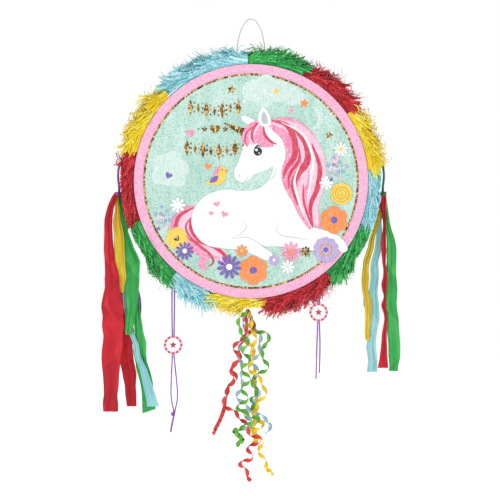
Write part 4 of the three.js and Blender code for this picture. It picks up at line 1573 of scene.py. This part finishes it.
def cord_notch(points: np.ndarray) -> np.ndarray:
    """The room that the loop's legs need as the drum swings."""
    over_hole = points[:, 2] - HOLE_Z
    room = 4.2 * MM + np.maximum(over_hole, 0) * math.tan(math.radians(38))
    near = np.minimum(np.abs(points[:, 0] - HOLE_X), np.abs(points[:, 0] + HOLE_X)) < 3.6 * MM
    return near & (np.abs(points[:, 1]) < room) & (over_hole > -4 * MM)


def hinge_wedge(points: np.ndarray) -> np.ndarray:
    """The crepe that folds up where the trap door turns."""
    level = points * (1, 0, 1)
    along, aside = along_and_aside(level, HINGE_FOLD, outward(DOOR_HINGE))
    return (along > 0) & (aside < along * math.tan(math.radians(HINGE_WEDGE)))


def hinge_core(points: np.ndarray) -> np.ndarray:
    """The room close round the trap door's hinge."""
    away = (points - polar(HINGE_RADIUS, DOOR_HINGE)) * (1, 0, 1)
    return np.linalg.norm(away, axis=1) < 3.4 * MM


def tie_passages(points: np.ndarray) -> np.ndarray:
    """The room round each tassel's tie."""
    found = np.zeros(len(points), bool)
    for side in (-1, 1):
        along, aside = along_and_aside(points, np.array((0, 0, CENTRE_Z)), outward(side * TIE_ANGLE))
        found |= (along > 0) & (aside < 3.2 * MM)
    return found


def string_passages(points: np.ndarray) -> np.ndarray:
    """The room that the tagged strings and their tags need to swing in."""
    found = np.zeros(len(points), bool)
    past_fringe = drum_radii(points) > FRINGE_OUTSIDE
    for string in PULL_STRINGS:
        aside = np.abs(points[:, 0] - string.x)
        level = (np.abs(points[:, 1] - STRING_Y) < 3.6 * MM) & (points[:, 2] < string.top + 4 * MM)
        found |= level & ((aside < 12.5 * MM) | ((aside < 34 * MM) & past_fringe))
    return found


def bundle_slot(points: np.ndarray) -> np.ndarray:
    """The slot that the ribbons leave the door through, and the room that they swing in below it."""
    across = points[:, 0] - RIBBON_EXIT_X
    low = points[:, 2] < DOOR_TOP_Z
    slot = (np.abs(across) < 3.2 * MM) & (np.abs(points[:, 1]) < 25.5 * MM) & low
    return slot | ((across > -8 * MM) & (drum_radii(points) > FRINGE_OUTSIDE - 7 * MM))


def tassel_room(points: np.ndarray) -> np.ndarray:
    """The room beside the drum that the tassels swing through."""
    beside = (np.abs(points[:, 0]) > 185 * MM) & (points[:, 2] < TIE_Z + 40 * MM)
    return beside & (drum_radii(points) > FRINGE_OUTSIDE + 0.5 * MM)


ZONES: list[Zone] = [edge_room, cord_notch, tie_passages, string_passages, hinge_core, tassel_room]


def trim(piece: Piece, zones: Iterable[Zone]) -> None:
    """Cut away the parts of a piece that lie where something has to move.

    Args:
        piece: The piece, as plain mesh.
        zones: Tests that say which points lie in the way.
    """
    mesh = piece.data
    points = np.zeros(len(mesh.vertices) * 3, np.float32)
    mesh.vertices.foreach_get("co", points)
    points = points.reshape(-1, 3).astype(float)
    hit = np.zeros(len(points), bool)
    for zone in zones:
        hit |= zone(points)
    if not hit.any():
        return
    work = bmesh.new()
    work.from_mesh(mesh)
    work.verts.ensure_lookup_table()
    doomed = [work.verts[int(i)] for i in np.nonzero(hit)[0]]
    bmesh.ops.delete(work, geom=doomed, context="VERTS")
    loose = [v for v in work.verts if not v.link_faces]
    bmesh.ops.delete(work, geom=loose, context="VERTS")
    work.to_mesh(mesh)
    work.free()


def split_off(piece: Piece, name: str, zone: Zone) -> Piece:
    """Move the faces of a piece that lie in a zone into a piece of their own.

    Args:
        piece: The piece, as plain mesh.
        name: The new piece's name.
        zone: The test that says which face middles lie in it.

    Returns:
        The new piece.
    """
    part = bpy.data.objects.new(name, piece.data.copy())
    bpy.context.scene.collection.objects.link(part)
    for target, wanted in ((piece, False), (part, True)):
        work = bmesh.new()
        work.from_mesh(target.data)
        middles = np.array([face.calc_center_median() for face in work.faces])
        inside = zone(middles)
        doomed = [face for face, hit in zip(work.faces, inside) if bool(hit) != wanted]
        bmesh.ops.delete(work, geom=doomed, context="FACES")
        work.to_mesh(target.data)
        work.free()
    return part


@dataclass
class FringeRun:
    """One colour of crepe round the rim.

    Attributes:
        node: Its CAD node.
        crepe: Its paper.
        start: Where it starts round the rim, in degrees.
        end: Where it ends.
        curl: How tightly its tails curl.
        rise: The least and most that its tails stand off the rim.
        loft: How thick its layers of roots are.
        length: Its tails' length.
        core: How thick the roll that its tails grow from is.
        body: The CAD body that it rides on.
        comb: 1 if its tips point clockwise, -1 if not, and 0 if they point down.
    """

    node: str
    crepe: Crepe
    start: float
    end: float
    curl: float = 1.0
    rise: tuple[float, float] = (0.0, 0.45)
    loft: float = 16 * MM
    length: float = 34 * MM
    core: float = 7 * MM
    body: str = "drum"
    comb: int = 0

    TAIL_WIDTH = 3.6 * MM
    DENSITY = 270_000.0
    HALF_WIDTH = 36.4 * MM
    TIP_ROOM = 5.5
    END_GAP = 0.12

    def strip(self) -> Shape:
        """The closed curved strip that tails are planted on, with how densely each face is."""
        inside, outside = FRINGE_INSIDE, FRINGE_INSIDE + self.core
        steps = max(6, round((self.end - self.start) / 1.6))
        angles = np.linspace(self.start + self.END_GAP, self.end - self.END_GAP, steps + 1)
        ys = np.linspace(-self.HALF_WIDTH, self.HALF_WIDTH, 20)
        if self.downhill > 0:
            planted = angles <= self.end - self.TIP_ROOM
        else:
            planted = angles >= self.start + self.TIP_ROOM
        shapes = []
        for radius, flip, planting in ((outside, False, 1.0), (inside, True, 0.0)):
            rows = np.array([[polar(radius, a, y) for y in ys] for a in angles])
            shapes.append(self.patch(rows, flip, planting * planted))
        for y, flip in ((ys[0], True), (ys[-1], False)):
            rows = np.array([[polar(r, a, y) for r in np.linspace(inside, outside, 4)] for a in angles])
            shapes.append(self.patch(rows, flip, 2.6 * planted))
        for angle, flip in ((angles[0], False), (angles[-1], True)):
            rows = np.array([[polar(r, angle, y) for y in ys] for r in (inside, outside)])
            shapes.append(self.patch(rows, flip, np.zeros(2)))
        return joined(shapes)

    def patch(self, rows: np.ndarray, flip: bool, planting: np.ndarray) -> Shape:
        """One side of the strip, with how densely each of its rows is planted."""
        shape = sheet_grid(rows, np.zeros((*rows.shape[:2], 2)))
        if flip:
            shape.faces = [face[::-1] for face in shape.faces]
        shape.tone = np.repeat(planting, rows.shape[1])
        return shape

    @property
    def downhill(self) -> float:
        """1 if the tips run clockwise, and -1 if they run the other way."""
        if self.comb:
            return float(self.comb)
        return 1.0 if (self.start + self.end) / 2 < 180 else -1.0

    def build(self, number: int, tree: bpy.types.NodeTree) -> None:
        """Plant the tails, trim them and hand the run over."""
        finish = self.crepe.value.on_tails()
        piece = make_piece(self.node.replace("fringe", "crepe_tails"), self.strip(), [finish])
        piece.data.attributes["tone"].name = "planting"
        apply_tree(
            piece,
            tree,
            {
                "Tail length": self.length,
                "Tail width": self.TAIL_WIDTH,
                "Curl": self.curl,
                "Tails per square metre": self.DENSITY,
                "Lowest rise": self.rise[0],
                "Highest rise": self.rise[1],
                "Stray": 0.2,
                "Roll": 0.9,
                "Loft": self.loft,
                "Comb": self.downhill,
                "Seed": 17 * number,
                "Crepe": finish,
            },
        )
        trim(piece, [*ZONES, bundle_slot] if self.body == "trap_door" else ZONES)
        if DOOR_HINGE in (self.start, self.end):
            self.add_hinge_tuft(piece)
        hand_over(piece, self.body, self.crepe.value.name, self.node)

    def add_hinge_tuft(self, piece: Piece) -> None:
        """Give the crepe beside the hinge a piece of its own."""
        tuft = split_off(piece, f"crepe_hinge_tuft_{self.body}", hinge_wedge)
        hand_over(tuft, self.body, self.crepe.value.name)
        side = 1 if self.start == DOOR_HINGE else -1
        away = outward(DOOR_HINGE + side * (HINGE_WEDGE + 90))
        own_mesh(tuft)


FRINGE = [
    FringeRun("fringe_01_green", Crepe.GREEN, -1.4, 25.8),
    FringeRun("fringe_02_red", Crepe.RED, 25.8, 54.9),
    FringeRun("fringe_03_yellow", Crepe.YELLOW, 54.9, 84.6),
    FringeRun("fringe_04_blue", Crepe.BLUE, 84.6, 111.3),
    FringeRun("fringe_05_green", Crepe.GREEN, 111.3, 140.2),
    FringeRun("fringe_06_red", Crepe.RED, 140.2, 172.5),
    FringeRun("fringe_07_yellow", Crepe.YELLOW, 172.5, DOOR_HINGE,
              rise=(-0.1, 0.2), loft=10 * MM, core=6 * MM, body="trap_door", comb=1),
    FringeRun("fringe_08_blue", Crepe.BLUE, DOOR_HINGE, 219.5),
    FringeRun("fringe_09_green", Crepe.GREEN, 219.5, 250.8),
    FringeRun("fringe_10_red", Crepe.RED, 250.8, 284.1),
    FringeRun("fringe_11_yellow", Crepe.YELLOW, 284.1, 316.8),
    FringeRun("fringe_12_blue", Crepe.BLUE, 316.8, 358.6, curl=1.4),
]


# ---- the tassels ----


def clear_of_drum(drop: float) -> float:
    """How far out a hanging piece must stay to swing past the fringe, at this drop."""
    sweep_room = HALF_DEPTH**2 / 2
    below = max(0.0, 13 * MM + drop - sweep_room / drop)
    radius = FRINGE_OUTSIDE + 1 * MM
    return math.sqrt(radius**2 - below**2) if below < radius else 0.0


def tassel_x(side: int, outward: float, drop: float, width: float) -> float:
    """Where a hanging piece's middle is, given how far out of the tie it would like to be."""
    return side * max(TIE_X + outward, clear_of_drum(drop) + width / 2)


@dataclass
class Streamer:
    """One sheet of crepe, gathered at its top.

    Attributes:
        label: The end of its CAD node's name.
        crepe: Its paper.
        stations: How far out of the tie, how far below it and how wide it is, in millimetres.
        length: Its cut length.
        folds: How many soft folds run down it.
        cut: Its cut width.
        slant: How much lower its outer corner hangs than its inner one.
    """

    label: str
    crepe: Crepe
    stations: list[Point]
    length: float
    folds: int = 2
    cut: float = 40 * MM
    slant: float = 0.0

    MARK_GAP = 11 * MM
    CRUMPLE = 0.7 * MM
    KINK = 2.4 * MM
    FLARE = (0.88, 1.1)

    def grid(self, side: int, y: float, number: int) -> Shape:
        """Lay the gathered sheet along its stations.

        Args:
            side: -1 for the left tassel and 1 for the right one.
            y: The middle of the sheet's own layer.
            number: Its place from the front, which sets how its folds wander.

        Returns:
            The sheet, whose uv is (across, down) on the cut sheet.
        """
        middle = [
            (tassel_x(side, out * MM, drop * MM, width * MM), TIE_Z - drop * MM, width * MM)
            for out, drop, width in self.stations
        ]
        line = smooth_line(middle, 3 * MM)
        across = np.linspace(-1, 1, 45)
        depth_room = (LAYER - 0.6 * MM) / 2 - self.CRUMPLE
        chance = np.random.default_rng(100 * number + side + 7)
        marks = np.arange(0, 60) * self.MARK_GAP
        creases = chance.uniform(-1, 1, len(marks)) * self.CRUMPLE
        kinks = chance.uniform(-1, 1, len(marks)) * self.KINK
        flares = chance.uniform(*self.FLARE, len(marks))
        rows, uvs = [], []
        for i, (x, z, width) in enumerate(line):
            down = i / (len(line) - 1)
            drop = down * self.length
            width *= float(np.interp(drop, marks * 1.6, flares))
            spare = max(self.cut / width - 1, 0.0)
            depth = min(depth_room, width / (math.pi * self.folds) * math.sqrt(spare * 2) * 1.2)
            wander = 0.9 * math.sin(3.1 * down + number) + 1.4 * down
            turn = across * math.pi * self.folds + wander + number * 1.3
            wave = np.arcsin(0.96 * np.sin(turn)) / 1.29
            offset = across + 0.12 * np.cos(turn) * (1 - across**2) * min(1.0, spare)
            tail = self.slant * across * max(0.0, down - 0.85) / 0.15 * side
            crease = np.interp(drop + across * 7 * MM, marks, creases)
            kink = float(np.interp(drop, marks * 2.3, kinks)) * min(1.0, down * 6)
            sideways = x + kink * side + offset * width / 2
            rows.append(np.stack([sideways, y + depth * wave + crease, z - tail + 0 * across], axis=1))
            uvs.append(np.stack([across * self.cut / 2, np.full_like(across, drop)], axis=1))
        return sheet_grid(np.array(rows), np.array(uvs))

    def build(self, tassel: str, side: int, y: float, number: int) -> None:
        """Make the streamer, give it a paper's thickness and log how much of its cut sheet's area it covers.
        """
        shape = self.grid(side, y, number)
        piece = make_piece(f"{tassel}_crepe_{self.label}", shape, [self.crepe.value.on_streamers()])
        solid = piece.modifiers.new("paper", "SOLIDIFY")
        solid.thickness = 0.2 * MM
        solid.offset = 0
        settle(piece)
        hand_over(piece, f"{tassel}_tassel", self.crepe.value.name, f"{tassel}_streamer_{self.label}")
        area = sum(face.area for face in piece.data.polygons) / 2
        LOG.info("%s has %.2f of its cut sheet's area", piece.name, area / (self.cut * self.length))


@dataclass
class Tassel:
    """A bunch of crepe streamers on a ribbon tie, with one loose ribbon behind."""

    label: str
    side: int
    tie: Ribbon
    streamers: list[Streamer]
    tail: list[FlatPoint]
    tail_length: float
    tie_length: float = 55 * MM

    TIE_WIDTH = 4 * MM
    TAIL_WIDTH = 5 * MM

    def build(self) -> None:
        """Make the tie, its anchor in the fringe, the streamers and the loose ribbon."""
        self.build_tie()
        count = len(self.streamers)
        for number, streamer in enumerate(self.streamers):
            y = (number - (count - 1) / 2) * LAYER
            streamer.build(self.label, self.side, y, number)
        self.build_tail(count)

    def build_tie(self) -> None:
        """The ribbon that the bunch hangs on, its anchor, and the loop and band at the bunch's neck."""
        finish = self.tie.value.material()
        slot = "ribbon_purple" if self.tie is Ribbon.PURPLE else "ribbon_green"
        line = self.tie_line()
        sides = turned(line, carried_sides(line, (1, 0, 0)), np.linspace(0.4, -0.3, len(line)))
        shape = sweep(line, ribbon_section(self.TIE_WIDTH, 0.5 * MM, 0.9 * MM), sides)
        tie = make_piece(f"{self.label}_tie", shape, [finish])
        hand_over(tie, f"{self.label}_tie", slot, f"{self.label}_tie_ribbon")
        anchor = make_piece(f"{self.label}_tie_stub", self.stub(), [finish])
        hand_over(anchor, "drum", slot, f"{self.label}_tie_anchor")
        for name, shape in (("tie_loop", self.neck_loop()), ("tie_band", self.neck_band())):
            hand_over(make_piece(f"{self.label}_{name}", shape, [finish]), f"{self.label}_tassel", slot)

    def tie_line(self) -> np.ndarray:
        """The tie's middle line, from the fringe down to the bunch."""
        start = polar(FRINGE_OUTSIDE + 2.8 * MM, self.side * TIE_ANGLE)
        points = [
            tuple(start),
            (start[0] + self.side * 5 * MM, 0, start[2] - 8 * MM),
            (self.side * (TIE_X + 2 * MM), 0, (start[2] + TIE_Z) / 2),
            (self.side * TIE_X, 0, TIE_Z + 2 * MM),
        ]
        return smooth_line(points, 1.2 * MM)

    def stub(self) -> Shape:
        """The end of the tie that runs back through the fringe to the rim."""
        inner = polar(FRINGE_INSIDE, self.side * TIE_ANGLE)
        outer = polar(FRINGE_OUTSIDE - 0.3 * MM, self.side * TIE_ANGLE)
        line = evenly(np.array([inner, outer]), 1.5 * MM)
        sides = turned(line, carried_sides(line, (0, 1, 0)), np.linspace(0, 1.5, len(line)))
        return sweep(line, ribbon_section(3.8 * MM, 0.5 * MM, 0.8 * MM), sides)

    def neck_loop(self) -> Shape:
        """The short loop that joins the tie to the band."""
        x = self.side * TIE_X
        line = evenly(np.array([(x, 0, TIE_Z + 2.5 * MM), (x, 0, TIE_Z - 7 * MM)]), 1 * MM)
        section = ribbon_section(self.TIE_WIDTH + 0.4 * MM, 1.1 * MM, 0.8 * MM)
        return sweep(line, section, carried_sides(line, (1, 0, 0)))

    def neck_band(self) -> Shape:
        """Three turns of ribbon round the gathered tops."""
        depth = len(self.streamers) * LAYER / 2 + 0.6 * MM
        top = (self.side * (TIE_X + 1 * MM), 0, TIE_Z - 4.5 * MM)
        line = three_turns(top, 5.2 * MM, depth, 5 * MM, 130)
        upright = np.tile((0.0, 0.0, 1.0), (len(line), 1))
        return sweep(line, ribbon_section(2.6 * MM, 0.4 * MM, 0.3 * MM), upright)

    def build_tail(self, count: int) -> None:
        """The loose purple ribbon behind the streamers."""
        y = count / 2 * LAYER + self.TAIL_WIDTH / 2 + 1 * MM
        points = [
            (tassel_x(self.side, out * MM, drop * MM, self.TAIL_WIDTH), y, TIE_Z - drop * MM)
            for out, drop in self.tail
        ]
        line = smooth_line(points, 1.6 * MM)
        turn = np.linspace(0, 3.5 * math.pi, len(line))
        sides = turned(line, carried_sides(line, (1, 0, 0)), turn)
        shape = sweep(line, ribbon_section(self.TAIL_WIDTH, 0.3 * MM, 0.6 * MM), sides)
        piece = make_piece(f"{self.label}_loose_ribbon", shape, [Ribbon.PURPLE.value.material()])
        hand_over(piece, f"{self.label}_tassel", "ribbon_purple", f"{self.label}_tail_ribbon")


TASSELS = [
    Tassel("left", -1, Ribbon.PURPLE, [
        Streamer("red_front", Crepe.RED, [
            (2, 5, 7), (7, 14, 10), (15, 40, 13), (17, 90, 15), (12, 165, 28), (8, 226, 38),
            (12, 310, 31), (15, 394, 25)], 0.400, cut=38 * MM),
        Streamer("yellow", Crepe.YELLOW, [
            (1, 6, 7), (4, 24, 7), (-2, 118, 21), (-4, 183, 9)], 0.180, cut=24 * MM),
        Streamer("green_short", Crepe.GREEN, [
            (1, 6, 7), (-3, 30, 10), (-17, 71, 20), (-23, 134, 30), (-21, 195, 24),
            (-16, 258, 10)], 0.260, cut=32 * MM),
        Streamer("blue", Crepe.BLUE, [
            (2, 6, 6), (-5, 100, 8), (-12, 212, 8), (-30, 282, 10), (-55, 370, 20),
            (-60, 387, 22)], 0.400, cut=20 * MM),
        Streamer("green_long", Crepe.GREEN, [
            (0, 6, 6), (-15, 100, 10), (-31, 195, 9), (-37, 289, 23), (-48, 352, 21),
            (-52, 396, 22)], 0.410, cut=24 * MM, slant=4 * MM),
        Streamer("red_back", Crepe.RED, [
            (0, 6, 8), (-3, 80, 12), (-8, 195, 20), (-12, 289, 26), (-19, 388, 17)],
            0.390, cut=28 * MM),
    ], [(0, 6), (-6, 57), (-18, 127), (-34, 189), (-35, 243)], 0.240),
    Tassel("right", 1, Ribbon.DARK_GREEN, [
        Streamer("dark_red", Crepe.RED, [
            (-2, 6, 8), (1, 30, 10), (3, 62, 6), (1, 100, 10), (4, 140, 6), (2, 168, 10), (4, 190, 4),
            (2, 206, 9), (3, 228, 5), (1, 270, 11), (0, 317, 18)], 0.315, cut=18 * MM),
        Streamer("green", Crepe.GREEN, [
            (1, 6, 8), (3, 20, 8), (9, 61, 10), (16, 102, 16), (16, 195, 20), (19, 258, 23),
            (18, 323, 17)], 0.325, cut=26 * MM),
        Streamer("yellow", Crepe.YELLOW, [
            (0, 6, 7), (-6, 37, 8), (-16, 69, 8), (-23, 102, 10), (-29, 165, 13),
            (-26, 268, 8)], 0.270, cut=18 * MM),
        Streamer("blue", Crepe.BLUE, [
            (-1, 6, 7), (-12, 134, 14), (-16, 226, 18), (-20, 326, 18)], 0.325, cut=24 * MM),
    ], [(0, 6), (-8, 45), (-18, 85), (-28, 130), (-32, 210)], 0.210),
]


# ---- the drum ----


def dress(node: str, finish: Surface) -> None:
    """Give a CAD node that stays in view its finish."""
    piece = frame["nodes"][node]
    if not piece.material_slots:
        piece.data.materials.append(finish)
    for slot in piece.material_slots:
        slot.material = finish
    LOG.info("%s is dressed in %s", node, finish.name)


DRESSED = {
    KRAFT: ("front_panel", "back_panel", "fill_flap"),
    CHIPBOARD: ("rim_band", "cord_pad", "trap_door"),
    TAPE: ("hinge_tape_door_leaf", "hinge_tape_rim_leaf"),
    PINK_CARD: ("pink_face_sheet",),
    MINT_CARD: ("mint_face_sheet",),
    TAG_PAPER: ("left_tag_front", "left_tag_back", "right_tag_front", "right_tag_back"),
}


@dataclass
class Drum:
    """The card drum, its printed sheets and its openings."""

    foil_outside: float = 188.4
    foil_inside: float = 185.0

    def build(self) -> None:
        """Dress the card parts and add the foil line round the printed sheet."""
        for finish, nodes in DRESSED.items():
            for node in nodes:
                dress(node, finish.material())
        page = mint_page()
        page.ring(Ink.GOLD, (0, 0), self.foil_outside, self.foil_inside, 240)
        page.press("foil_line", "drum", "mint_card")


@dataclass
class RibbonBundle:
    """The ribbons' upper ends: folded flat inside the door, and out through its slot."""

    half_width: float = 24.7 * MM
    inside_z: float = -492 * MM

    def build(self) -> None:
        """Make one folded end for each ribbon, in its ribbon's colour."""
        finishes = [ribbon.ribbon.value.material() for ribbon in PULL_RIBBONS]
        shapes = []
        for number in range(len(PULL_RIBBONS)):
            y = ribbon_y(number)
            points = [
                (RIBBON_EXIT_X - 7 * MM, y, self.inside_z + 1.2 * MM),
                (RIBBON_EXIT_X - 3 * MM, y, self.inside_z + 1.5 * MM),
                (RIBBON_EXIT_X, y, self.inside_z - 3 * MM),
                (RIBBON_EXIT_X, y, RIBBON_EXIT_Z + 12 * MM),
                (RIBBON_EXIT_X, y, RIBBON_EXIT_Z + 3.2 * MM),
            ]
            line = smooth_line(points, 1.2 * MM)
            sides = np.tile((0.0, 1.0, 0.0), (len(line), 1))
            shapes.append(sweep(line, ribbon_section(5.4 * MM, 0.3 * MM, 0.3 * MM), sides).painted(number))
        piece = make_piece("ribbon_ends", joined(shapes), finishes)
        hand_over(piece, "trap_door", "ribbon_purple", "ribbon_bundle")


# ---- the studio ----


@dataclass
class Studio:
    """A pale floor far below, bright air round the horizon, soft lights and the camera."""

    floor_z: float = -1.9
    half_width: float = 14.0

    def build(self) -> None:
        """Set up the camera, the lights, the air and the floor."""
        self.add_camera()
        self.add_light("key", (-1.6, -2.6, 1.4), (0, 0, -0.35), 2.2, 22)
        self.add_light("fill", (2.2, -2.2, 0.2), (0, 0, -0.4), 2.4, 6)
        self.add_light("rim", (0.4, 1.6, 1.6), (0, 0, -0.3), 1.6, 10)
        self.add_air()
        self.add_floor()
        bpy.context.scene.view_settings.view_transform = "Standard"

    def add_air(self) -> None:
        """White air that is brightest round the horizon, and dimmer above and below."""
        world = bpy.data.worlds.new("studio_air")
        world.use_nodes = True
        air = Tree(world.node_tree)
        sky = world.node_tree.nodes["Background"]
        way = air.add("ShaderNodeTexCoord").outputs["Generated"]
        height = air.math("ABSOLUTE", air.add("ShaderNodeSeparateXYZ", {0: way}).outputs[2])
        band = air.add("ShaderNodeMapRange", {0: height, 1: 0.22, 2: 0.6, 3: 1.0, 4: 0.3})
        air.feed(sky.inputs["Strength"], band.outputs[0])
        sky.inputs["Color"].default_value = WHITE
        bpy.context.scene.world = world

    def add_camera(self) -> None:
        """The camera, square to the decorated face."""
        data = bpy.data.cameras.new("camera")
        data.lens = 85
        data.sensor_width = 36
        camera = bpy.data.objects.new("camera", data)
        camera.location = (-0.00175, -2.105, -0.4104)
        camera.rotation_euler = (math.radians(90), 0, 0)
        bpy.context.scene.collection.objects.link(camera)
        bpy.context.scene.camera = camera

    def add_light(self, name: str, at: Point, towards: Point, size: float, power: float) -> None:
        """One soft square light.

        Args:
            name: The light's name.
            at: Where it stands.
            towards: What it shines at.
            size: The length of its side.
            power: Its power in watts.
        """
        data = bpy.data.lights.new(name, "AREA")
        data.shape = "SQUARE"
        data.size = size
        data.energy = power
        light = bpy.data.objects.new(name, data)
        light.location = at
        light.rotation_euler = (Vector(towards) - Vector(at)).to_track_quat("-Z", "Y").to_euler()
        bpy.context.scene.collection.objects.link(light)

    def add_floor(self) -> None:
        """The white floor."""
        ends = (-self.half_width, self.half_width)
        rows = np.array([[(x, y, self.floor_z) for x in ends] for y in reversed(ends)])
        m = Material("studio_floor", 0.9, emission_strength=0.75)
        m.shader.inputs["Emission Color"].default_value = WHITE
        grain = m.noise(m.places(), 30, 2)
        m.colour(m.ramp(grain, (0.0, "#f6f6f6"), (1.0, "#ffffff")))
        make_piece("studio_floor", sheet_grid(rows, np.zeros((2, 2, 2))), [m.material])


# ---- assembly ----


def main() -> None:
    """Build the studio and every sub-assembly, cords first."""
    logging.basicConfig(level=logging.INFO, format="%(name)s: %(message)s")
    Studio().build()
    HangingLoop().build()
    for number, ribbon in enumerate(PULL_RIBBONS):
        ribbon.build(number)
    for string in PULL_STRINGS:
        string.build()
    for tassel in TASSELS:
        tassel.build()
    Drum().build()
    FaceArt(mint_page()).build()
    RibbonBundle().build()
    tree = fringe_tree()
    for number, run in enumerate(FRINGE, start=1):
        run.build(number, tree)


if __name__ == "__main__":
    main()
